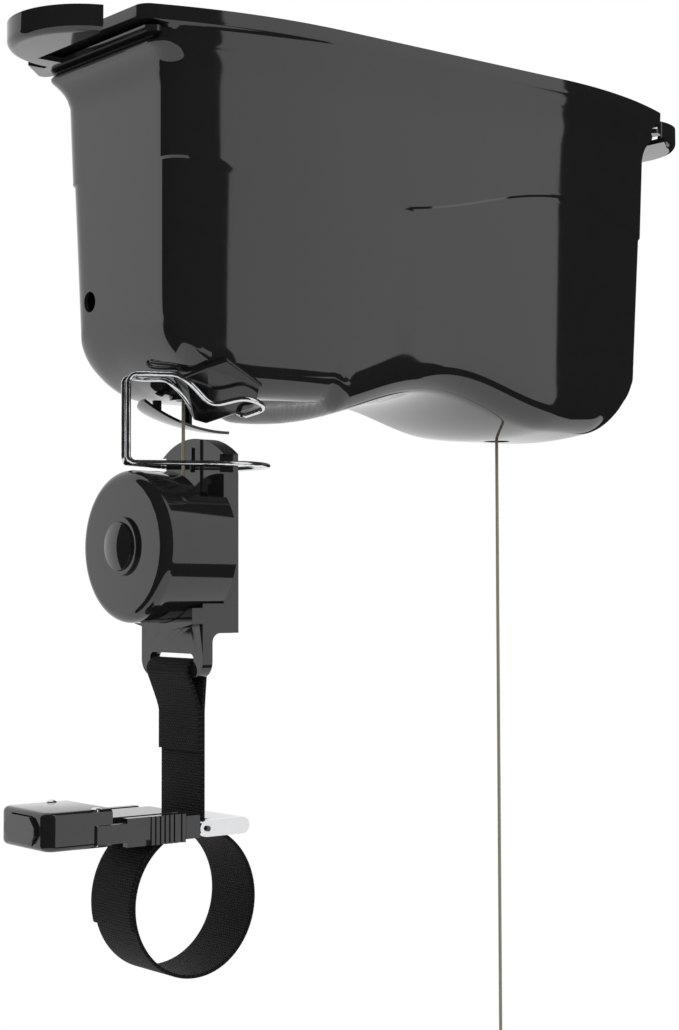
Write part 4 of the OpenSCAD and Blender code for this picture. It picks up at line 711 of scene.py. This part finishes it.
def housing_rings():
    """Closed loops of points from the ceiling edge down to the line under the belly."""
    s = sizes()
    rings = []
    for z, end, side in rounded([Vector(row) for row in FLARE], passes=1):
        a = s.half_length + (s.flange_half_length - s.half_length) * end
        b = s.half_width + (s.flange_half_width - s.half_width) * side
        r = s.corner + (s.flange_corner - s.corner) * end
        rings.append([(x + s.shift * (1 - end), y, -s.flare * z) for x, y in outline(a, b, r)])

    def seam_at(x):
        return s.seam * smooth_lookup(x / s.half_length, SEAM_LINE)

    for t in UPPER_RINGS:
        m = (s.seam - s.flare) * t
        plan = outline(s.half_length - m * END_DRAFT, s.half_width - m * SIDE_DRAFT, s.corner)
        rings.append(
            [(x + s.shift, y, -(s.flare + (seam_at(x) - SEAM_HALF - s.flare) * t)) for x, y in plan]
        )
    rim = s.depth - s.edge_curve
    low_a = s.half_length - (rim - s.flare) * END_DRAFT - s.seam_step
    low_b = s.half_width - (rim - s.flare) * SIDE_DRAFT - s.seam_step
    for t in LOWER_RINGS:
        m = s.seam + (rim - s.seam) * t - s.flare
        ring = []
        for x, y in outline(s.half_length - m * END_DRAFT, s.half_width - m * SIDE_DRAFT, s.corner):
            keep = 1 - s.seam_step * smooth_lookup(x / s.half_length, SEAM_FADE) / math.hypot(x, y)
            x, y = x * keep, y * keep
            top = seam_at(x) + SEAM_HALF
            ring.append((x + s.shift, y, -(top + (depth_at(x, y, low_a, low_b) - top) * t)))
        rings.append(ring)
    bends = [math.pi / 2 * i / EDGE_RINGS for i in range(2, EDGE_RINGS + 1)]
    near = [(1 - math.cos(bend)) * s.edge_curve / low_b for bend in bends]
    rest = (1 - near[-1]) / INNER_RINGS
    for u in [FIRST_IN, *near, *[near[-1] + rest * i for i in range(1, INNER_RINGS + 1)]]:
        ring = []
        for x, y in outline(low_a, low_b, s.corner):
            x, y = x * (1 - UNDER_TAPER * u), y * (1 - u)
            ring.append((x + s.shift, y, -depth_at(x, y, low_a, low_b)))
        rings.append(ring)
    return rings


CUTTER_SIDES = 48
CUTTER_REACH = 35 * MM


def cutter(name, matrix, radius):
    """A round bar used to cut a hole, removed after use."""
    bm = bmesh.new()
    bmesh.ops.create_cone(
        bm,
        cap_ends=True,
        segments=CUTTER_SIDES,
        radius1=radius,
        radius2=radius,
        depth=CUTTER_REACH,
        matrix=matrix,
    )
    return new_piece(name, bm, finishes()["housing_black"])


class HOIST_OT_housing(bpy.types.Operator):
    """Moulded housing with flange, step line and waved underside"""

    bl_idname = "hoist.housing"
    bl_label = "Housing"

    def execute(self, context):
        s = sizes()
        h = hanger()
        bm = bmesh.new()
        rings = housing_rings()
        verts, edges = ring_of(bm, rings[0])
        for ring in rings[1:]:
            verts, edges = extrude_ring(bm, verts, edges, ring)
        bmesh.ops.remove_doubles(bm, verts=bm.verts, dist=BUILT_MERGE)
        shell = new_piece("housing_moulding", bm, finishes()["housing_black"])
        wall = shell.modifiers.new("wall", "SOLIDIFY")
        wall.thickness = s.wall
        wall.offset = -1
        holes = [
            cutter("exit_a", Matrix.Translation((-h.left_cable_x, 0, -s.depth)), s.exit_radius),
            cutter("exit_b", Matrix.Translation((h.right_cable_x, 0, -s.depth)), s.exit_radius),
            cutter(
                "adjuster",
                Matrix.Translation((-s.half_length, s.hole_y, -s.hole_z))
                @ Matrix.Rotation(math.pi / 2, 4, "Y"),
                s.hole_radius,
            ),
        ]
        cut_piece(shell, holes)
        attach(shell, "housing")
        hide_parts("housing_shell")
        return {"FINISHED"}


# Rigid pieces: merged copies of the solids, with worked edges

# Edge radius of each rigid node in mm, 0 where its edges stay as the solid has them
WORKED = {
    "ear_left": 0.8,
    "ear_right": 0.8,
    "claws": 0,
    "cable_guard": 0.25,
    "hanger_plate": 0.7,
    "spool_cover": 1.8,
    "bezel": 0.9,
    "push_button": 1.0,
    "thumb_button": 0.6,
    "release_arm_front": 0.3,
    "release_arm_back": 0.3,
    "buckle_tongue": 0.5,
    "chrome_stirrup": 0.5,
    "arm_pins": 0.2,
    "hook_ferrule": 0.5,
    "hook_swivel": 0.8,
    "saddle_hook": 0,
    "hook_sleeve": 0.3,
    "entry_bush": 0.2,
    "grommet_left": 0.3,
    "grommet_right": 0.3,
    "chassis_plate": 0.3,
    "shell_screws": 0.1,
    "cover_screws": 0.1,
    "bracket_front": 0.3,
    "bracket_back": 0.3,
    "shaft_bush_front": 0.1,
    "shaft_bush_back": 0.1,
    "main_shaft": 0.4,
    "cable_drum": 0.4,
    "ratchet_wheel": 0.2,
    "pawl": 0.3,
    "pawl_pin": 0.2,
    "spring_arbor": 0.3,
    "spring_case": 0.4,
    "spring_case_cover": 0.3,
    "mainspring": 0,
    "pulley_yoke": 0.3,
    "guide_pulley": 0.3,
    "guide_pulley_pin": 0.2,
    "spool_axle": 0.2,
    "cable_spool": 0.3,
    "button_spring": 0,
    "thumb_spring": 0,
}


# Faces that turn by less than this count as one flat face
FLAT_ANGLE = math.radians(0.4)
EDGE_SHARP = 32.0
CUT_SHARP = 30.0


def body_of(node):
    return frame["nodes"][node]["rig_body"]


def slot_of(node):
    return next(
        row["material_slot"] for row in frame["record"]["subparts"] if row["node"] == node
    )


def worked_copy(node, edge_mm):
    """A merged copy of a solid with flat faces joined, edges rounded and normals eased."""
    bm = merged_copy(node)
    bmesh.ops.dissolve_limit(bm, angle_limit=FLAT_ANGLE, verts=bm.verts, edges=bm.edges)
    finish = finishes()[slot_of(node)]
    piece = new_piece(node + "_worked", bm, finish, body_of(node), [node], EDGE_SHARP)
    if edge_mm:
        bevel = piece.modifiers.new("edge", "BEVEL")
        bevel.width = edge_mm * MM
        bevel.segments = 3
        bevel.limit_method = "ANGLE"
        bevel.angle_limit = math.radians(EDGE_SHARP)
        bevel.harden_normals = True
        bevel.use_clamp_overlap = True
    return piece


def squeeze(piece):
    """Gives a coil spring's piece a mesh of its own; it is not shortened here."""
    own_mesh(piece)


class HOIST_OT_rigid(bpy.types.Operator):
    """Moulded and metal pieces of the mechanism, hanger, buckle and hook"""

    bl_idname = "hoist.rigid"
    bl_label = "Rigid pieces"

    def execute(self, context):
        for name, solid in frame["nodes"].items():
            for place in solid.material_slots:
                place.link = "OBJECT"
                place.material = finishes()[slot_of(name)]
        pieces = {node: worked_copy(node, edge_mm) for node, edge_mm in WORKED.items()}
        squeeze(pieces["button_spring"])
        squeeze(pieces["thumb_spring"])
        return {"FINISHED"}


def block(bm, low, high):
    """A box between two corners, as new vertices."""
    low, high = Vector(low), Vector(high)
    place = Matrix.Translation((low + high) / 2) @ Matrix.Diagonal((*(high - low), 1))
    return bmesh.ops.create_cube(bm, size=1, matrix=place)["verts"]


def is_upright(edge):
    """Whether an edge of a block runs along Z."""
    return abs(edge.verts[0].co.z - edge.verts[1].co.z) > 1 * MM


def bevel_edges(bm, edges, offset, segments):
    """Rounds edges, or cuts them at an angle where there is one segment."""
    bmesh.ops.bevel(
        bm,
        geom=edges,
        offset=offset,
        segments=segments,
        profile=0.5,
        affect="EDGES",
        material=-1,
    )


def cut_piece(piece, holes):
    """Cuts closed meshes out of a piece and removes them."""
    for hole in holes:
        cut = piece.modifiers.new(hole.name, "BOOLEAN")
        cut.operation = "DIFFERENCE"
        cut.solver = "EXACT"
        cut.object = hole
    bpy.context.view_layer.update()
    bake_modifiers(piece)
    for hole in holes:
        bpy.data.objects.remove(hole)
    piece.data.polygons.foreach_set("use_smooth", [True] * len(piece.data.polygons))
    piece.data.set_sharp_from_angle(angle=math.radians(CUT_SHARP))


class HOIST_OT_buckle(bpy.types.Operator):
    """Buckle body: a soft-cornered block with its pocket, arm slots and button window"""

    bl_idname = "hoist.buckle"
    bl_label = "Buckle body"

    def execute(self, context):
        paint = finishes()["housing_black"]
        low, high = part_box("buckle_body")
        b = buckle()
        bm = bmesh.new()
        block(bm, low, high)
        upright = [e for e in bm.edges if is_upright(e) and e.verts[0].co.x < low.x + b.gap]
        bevel_edges(bm, upright, b.end_edge, 6)
        inside = high.x - b.gap
        rims = [
            e for e in bm.edges
            if not is_upright(e) and min(e.verts[0].co.x, e.verts[1].co.x) < inside
        ]
        bevel_edges(bm, rims, b.rim_edge, 5)
        body = new_piece("buckle_body_moulding", bm, paint)
        arm_low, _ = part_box("release_arm_front")
        thumb_low, thumb_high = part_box("thumb_button")
        out = high.x + b.gap
        holes = []
        for side in (-1, 1):
            bm = bmesh.new()
            place = side * b.pivot_y
            block(
                bm,
                (arm_low.x - b.gap, place - b.slot_half, -b.slot_low),
                (out, place + b.slot_half, -b.slot_top),
            )
            holes.append(new_piece("arm_slot", bm, paint))
        bm = bmesh.new()
        block(
            bm,
            (low.x + b.pocket_back, -b.pocket_half, low.z + b.wall),
            (out, b.pocket_half, high.z - b.wall),
        )
        holes.append(new_piece("pocket", bm, paint))
        bm = bmesh.new()
        block(
            bm,
            (low.x - b.gap, thumb_low.y - b.gap, thumb_low.z - b.gap),
            (low.x + b.window_depth, thumb_high.y + b.gap, thumb_high.z + b.gap),
        )
        across = [e for e in bm.edges if abs(e.verts[0].co.x - e.verts[1].co.x) > b.gap]
        bevel_edges(bm, across, b.window_cut, 1)
        holes.append(new_piece("window", bm, paint))
        cut_piece(body, holes)
        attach(body, "hanger")
        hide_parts("buckle_body")
        return {"FINISHED"}


# The faceted tube grows by this before it is subdivided, which draws it in again
WIRE_SWELL = 0.13 * MM
SMOOTH_ALL = 180


class HOIST_OT_guide_wire(bpy.types.Operator):
    """Chromed guide wire, rounded from the solid's faceted tube"""

    bl_idname = "hoist.guide_wire"
    bl_label = "Guide wire"

    def execute(self, context):
        bm = merged_copy("guide_wire")
        bm.normal_update()
        for vert in bm.verts:
            vert.co += vert.normal * WIRE_SWELL
        chrome = finishes()["chrome"]
        wire = new_piece(
            "guide_wire_round", bm, chrome, "housing", ["guide_wire"], SMOOTH_ALL
        )
        smooth = wire.modifiers.new("round", "SUBSURF")
        smooth.levels = smooth.render_levels = 2
        return {"FINISHED"}


# Cables


CABLE_SIDES = 16
LEFT_STEPS = 24
RIGHT_STEPS = 60


def drop(x, node, steps):
    """Points down a hanging cable, from its box."""
    low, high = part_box(node)
    return [(x, 0, high.z + (low.z - high.z) * i / steps) for i in range(steps + 1)]


def cable_piece(name, path, node, body=None):
    """A round cable with a UV map: once round, and metres along."""
    radius = hanger().cable / 2
    bm = bmesh.new()
    along = bm.verts.layers.float.new("along")
    tube(bm, path, radius, CABLE_SIDES, along)
    uv = bm.loops.layers.uv.new("UVMap")
    for face in bm.faces:
        if len(face.verts) != 4:
            continue
        for loop in face.loops:
            loop[uv].uv.y = loop.vert[along]
    piece = new_piece(name, bm, finishes()["cable"], body, [node], 60)
    mesh = piece.data
    layer = mesh.uv_layers["UVMap"].data
    for polygon in mesh.polygons:
        corners = [mesh.loops[i].vertex_index for i in polygon.loop_indices]
        around = [corner % CABLE_SIDES / CABLE_SIDES for corner in corners]
        wrap = max(around) - min(around) > 0.5
        for i, u in zip(polygon.loop_indices, around):
            layer[i].uv.x = u + 1 if wrap and u < 0.5 else u
    return piece


class HOIST_OT_cables(bpy.types.Operator):
    """Cables outside and inside the housing, and the turns on drum and spool"""

    bl_idname = "hoist.cables"
    bl_label = "Cables"

    def execute(self, context):
        h = hanger()
        path = drop(-h.left_cable_x, "left_cable", LEFT_STEPS)
        left = cable_piece("left_cable_round", path, "left_cable")
        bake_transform(left)
        path = drop(h.right_cable_x, "right_cable", RIGHT_STEPS)
        right = cable_piece("right_cable_round", path, "right_cable")
        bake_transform(right)
        for node in ("cable_run_left", "cable_run_right", "cable_windings", "spool_winding"):
            bm = merged_copy(node)
            bm.loops.layers.uv.new("UVMap")
            new_piece(node + "_round", bm, finishes()["cable"], body_of(node), [node], 60)
        return {"FINISHED"}


# Webbing


# Strips across the band, and steps of its paths: round the bar, down the rear, round loop and lap
WEB_STRIPS = 12
BAR_STEPS = 28
REAR_STEPS = 12
LOOP_STEPS = 120
LAP_STEPS = 40
# Turns in degrees, from +X, between which the strap lies on the bar
BAR_TURNS = (187, -7)
# Depths in mm of the points of the strap's front layer, from its lower end up
FRONT_LAYER = (390, 381, 372, 367)
STRAP_GAP = 0.3 * MM


def ribbon(name, path, node, body, close=False):
    """A band of webbing along a path of (x, z), with a UV map in metres and rolled selvages."""
    h = hanger()
    bm = bmesh.new()
    along = bm.verts.layers.float.new("along")
    verts = []
    travelled = 0.0
    for i, (x, z) in enumerate(path):
        if i:
            travelled += math.hypot(x - path[i - 1][0], z - path[i - 1][1])
        vert = bm.verts.new((x, -h.web_width / 2, z))
        vert[along] = travelled
        verts.append(vert)
    edges = [bm.edges.new(pair) for pair in zip(verts, verts[1:])]
    for _ in range(WEB_STRIPS):
        fresh, edges = extruded(bmesh.ops.extrude_edge_only(bm, edges=edges)["geom"])
        bmesh.ops.translate(bm, verts=fresh, vec=(0, h.web_width / WEB_STRIPS, 0))
    uv = bm.loops.layers.uv.new("UVMap")
    for face in bm.faces:
        for loop in face.loops:
            loop[uv].uv = (loop.vert.co.y, loop.vert[along])
    if close:
        bmesh.ops.remove_doubles(bm, verts=bm.verts, dist=BUILT_MERGE)
    piece = new_piece(name, bm, finishes()["webbing"], None, (), SMOOTH_ALL)
    thick = piece.modifiers.new("thickness", "SOLIDIFY")
    thick.thickness = h.web_thick
    thick.offset = 0
    edge = piece.modifiers.new("selvage", "BEVEL")
    edge.width = h.selvage
    edge.segments = 3
    edge.limit_method = "ANGLE"
    edge.angle_limit = math.radians(50)
    bpy.context.view_layer.update()
    bake_modifiers(piece)
    piece.data.polygons.foreach_set("use_smooth", [True] * len(piece.data.polygons))
    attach(piece, body)
    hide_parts(node)
    return piece


class HOIST_OT_webbing(bpy.types.Operator):
    """Upper strap folded round the tab's bar, and the handlebar loop with its sewn lap"""

    bl_idname = "hoist.webbing"
    bl_label = "Webbing"

    def execute(self, context):
        h = hanger()
        half = h.web_thick / 2
        front = -h.strap_x - half
        rear = -h.strap_x + half
        path = [(front, -depth * MM) for depth in FRONT_LAYER]
        path += arc_points((-h.bar_x, -h.bar_z), h.wrap + half, *BAR_TURNS, BAR_STEPS)
        low = -h.loop_z + h.loop_radius + STRAP_GAP
        fall = (low + h.join_z) / REAR_STEPS
        path += [(rear, -h.join_z + fall * i) for i in range(REAR_STEPS + 1)]
        path = [tuple(place) for place in rounded(path)]
        ribbon("upper_strap_webbing", path, "upper_strap", "hanger")
        centre = (-h.loop_x, -h.loop_z)
        ring = arc_points(centre, h.loop_radius - half, 90, 450, LOOP_STEPS)
        ribbon("loop_webbing", ring, "handlebar_loop", "hanger", True)
        start, end = math.degrees(h.lap_start), math.degrees(h.lap_end)
        lap = arc_points(centre, h.loop_radius + half, start, end, LAP_STEPS)
        ribbon("loop_lap_webbing", lap, "handlebar_loop", "hanger")
        return {"FINISHED"}


# Stage


# The camera that saw the hoist, in mm, degrees and pixels
CAMERA_PLACE = (-753.2, -867.05, -295.3)
CAMERA_YAW = 36.95
CAMERA_PITCH = 2.91
FOCAL_PX = 1930.5
PICTURE_PX = (679, 1030)
CENTRE_PX = (233.9, 478.0)
SENSOR_MM = 36
# What the gloss reflects as dark: from and to, turned in degrees from -Y to +X, and lowest and
# highest, as the sine of the elevation
DARK_FLATS = ((-140, 8, -0.55, 2.0), (47, 128, -0.36, 2.0), (8, 80, -0.6, -0.36))
FLAT_TONE = 0.02
WORLD_LIGHT = 0.55
# The floor in metres, and how much of it is plain white to the eye
FLOOR_HALF = 2.0
FLOOR_Z = -2.6
FLOOR_GLOW = 0.97
# Softboxes: place in metres, and power in watts
SOFTBOXES = {"key_softbox": ((-1.6, -2.2, 0.9), 36), "fill_softbox": ((1.9, -1.6, 0.2), 12)}
SOFTBOX_SIZE = 1.6
SOFTBOX_AIM = Vector((0.0, 0.0, -0.3))


class HOIST_OT_stage(bpy.types.Operator):
    """Camera, floor, studio surroundings and lamps"""

    bl_idname = "hoist.stage"
    bl_label = "Stage"

    def execute(self, context):
        scene = context.scene
        self.camera(scene)
        scene.view_settings.view_transform = "Standard"
        bm = bmesh.new()
        bmesh.ops.create_grid(bm, x_segments=1, y_segments=1, size=FLOOR_HALF)
        bmesh.ops.translate(bm, verts=bm.verts, vec=(0, 0, FLOOR_Z))
        floor = new_piece("floor", bm, self.floor_paint())
        self.surroundings(scene)
        for name, (place, power) in SOFTBOXES.items():
            self.softbox(name, Vector(place), power)
        return {"FINISHED"}

    def camera(self, scene):
        data = bpy.data.cameras.new("camera")
        width, height = PICTURE_PX
        data.sensor_width = SENSOR_MM
        data.lens = FOCAL_PX * SENSOR_MM / height
        data.shift_x = (width / 2 - CENTRE_PX[0]) / height
        data.shift_y = -(height / 2 - CENTRE_PX[1]) / height
        data.clip_end = 100
        camera = bpy.data.objects.new("camera", data)
        camera.location = [c * MM for c in CAMERA_PLACE]
        camera.rotation_euler = (math.radians(90 + CAMERA_PITCH), 0, math.radians(-CAMERA_YAW))
        scene.collection.objects.link(camera)
        scene.camera = camera

    def rays(self, tree):
        """The kinds of ray, and 1 for those that show a background: camera, glossy, transmission."""
        path = add(tree, "ShaderNodeLightPath").outputs
        both = {0: path["Is Glossy Ray"], 1: path["Is Transmission Ray"]}
        beyond = add(tree, "ShaderNodeMath", both, operation="MAXIMUM")
        seen = {0: path["Is Camera Ray"], 1: beyond}
        return path, add(tree, "ShaderNodeMath", seen, operation="MAXIMUM")

    def floor_paint(self):
        # Matt white studio floor, shown as white to the camera
        backdrop = tuple(colours().backdrop)
        material, tree = new_material("matt_floor_paint", Roughness=0.9, Base_Color=backdrop)
        _, seen = self.rays(tree)
        white = add(tree, "ShaderNodeMath", {0: seen, 1: FLOOR_GLOW}, operation="MULTIPLY")
        glow = add(tree, "ShaderNodeEmission", {"Color": (1, 1, 1, 1), "Strength": 1.0})
        paint = tree.nodes["Principled BSDF"]
        mix = add(tree, "ShaderNodeMixShader", {0: white, 1: paint, 2: glow})
        tree.links.new(mix.outputs[0], tree.nodes["Material Output"].inputs["Surface"])
        return material

    def surroundings(self, scene):
        """White studio with dark flats, met by the direction of a glossy ray."""
        world = bpy.data.worlds.new("studio")
        scene.world = world
        world.use_nodes = True
        tree = world.node_tree
        way = add(tree, "ShaderNodeTexCoord").outputs["Generated"]
        axis = add(tree, "ShaderNodeSeparateXYZ", {0: way}).outputs
        back = add(tree, "ShaderNodeMath", {0: axis["Y"], 1: -1.0}, operation="MULTIPLY")
        turn = add(tree, "ShaderNodeMath", {0: axis["X"], 1: back}, operation="ARCTAN2")
        path, seen = self.rays(tree)
        dark = 0.0
        for start, stop, low, high in DARK_FLATS:
            middle, half = math.radians((start + stop) / 2), math.radians((stop - start) / 2)
            across = add(tree, "ShaderNodeMath", {0: turn, 1: middle, 2: half}, operation="COMPARE")
            middle, half = (low + high) / 2, (high - low) / 2
            rise = {0: axis["Z"], 1: middle, 2: half}
            upright = add(tree, "ShaderNodeMath", rise, operation="COMPARE")
            flat = add(tree, "ShaderNodeMath", {0: across, 1: upright}, operation="MULTIPLY")
            dark = add(tree, "ShaderNodeMath", {0: dark, 1: flat}, operation="MAXIMUM")
        glossy = {0: dark, 1: path["Is Glossy Ray"]}
        dark = add(tree, "ShaderNodeMath", glossy, operation="MULTIPLY")
        tones = {0: dark, 6: (1, 1, 1, 1), 7: (FLAT_TONE, FLAT_TONE, FLAT_TONE, 1)}
        tone = add(tree, "ShaderNodeMix", tones, data_type="RGBA")
        light = {"Value": seen, "To Min": WORLD_LIGHT, "To Max": 1.0}
        strength = add(tree, "ShaderNodeMapRange", light)
        background = tree.nodes["Background"].inputs
        tree.links.new(tone.outputs[2], background["Color"])
        tree.links.new(strength.outputs["Result"], background["Strength"])

    def softbox(self, name, place, power):
        data = bpy.data.lights.new(name, "AREA")
        data.size = SOFTBOX_SIZE
        data.energy = power
        lamp = bpy.data.objects.new(name, data)
        lamp.visible_glossy = False
        lamp.location = place
        lamp.rotation_euler = (SOFTBOX_AIM - place).to_track_quat("-Z", "Y").to_euler()
        bpy.context.scene.collection.objects.link(lamp)


class HOIST_PT_panel(bpy.types.Panel):
    """Lists the hoist's operators"""

    bl_idname = "HOIST_PT_panel"
    bl_label = "Hoist"
    bl_space_type = "VIEW_3D"
    bl_region_type = "UI"
    bl_category = "Hoist"

    def draw(self, context):
        for operator in OPERATORS:
            self.layout.operator(operator.bl_idname)


OPERATORS = (
    HOIST_OT_stage,
    HOIST_OT_housing,
    HOIST_OT_rigid,
    HOIST_OT_buckle,
    HOIST_OT_guide_wire,
    HOIST_OT_cables,
    HOIST_OT_webbing,
)
CLASSES = (HousingSizes, HangerSizes, BuckleSizes, HoistColours, *OPERATORS, HOIST_PT_panel)


def register():
    for cls in CLASSES:
        bpy.utils.register_class(cls)
    bpy.types.Scene.hoist_housing = bpy.props.PointerProperty(type=HousingSizes)
    bpy.types.Scene.hoist_hanger = bpy.props.PointerProperty(type=HangerSizes)
    bpy.types.Scene.hoist_buckle = bpy.props.PointerProperty(type=BuckleSizes)
    bpy.types.Scene.hoist_colours = bpy.props.PointerProperty(type=HoistColours)


def unregister():
    del bpy.types.Scene.hoist_housing
    del bpy.types.Scene.hoist_hanger
    del bpy.types.Scene.hoist_buckle
    del bpy.types.Scene.hoist_colours
    for cls in reversed(CLASSES):
        bpy.utils.unregister_class(cls)


def main():
    register()
    for operator in OPERATORS:
        group, name = operator.bl_idname.split(".")
        getattr(getattr(bpy.ops, group), name)()


if __name__ == "__main__":
    main()
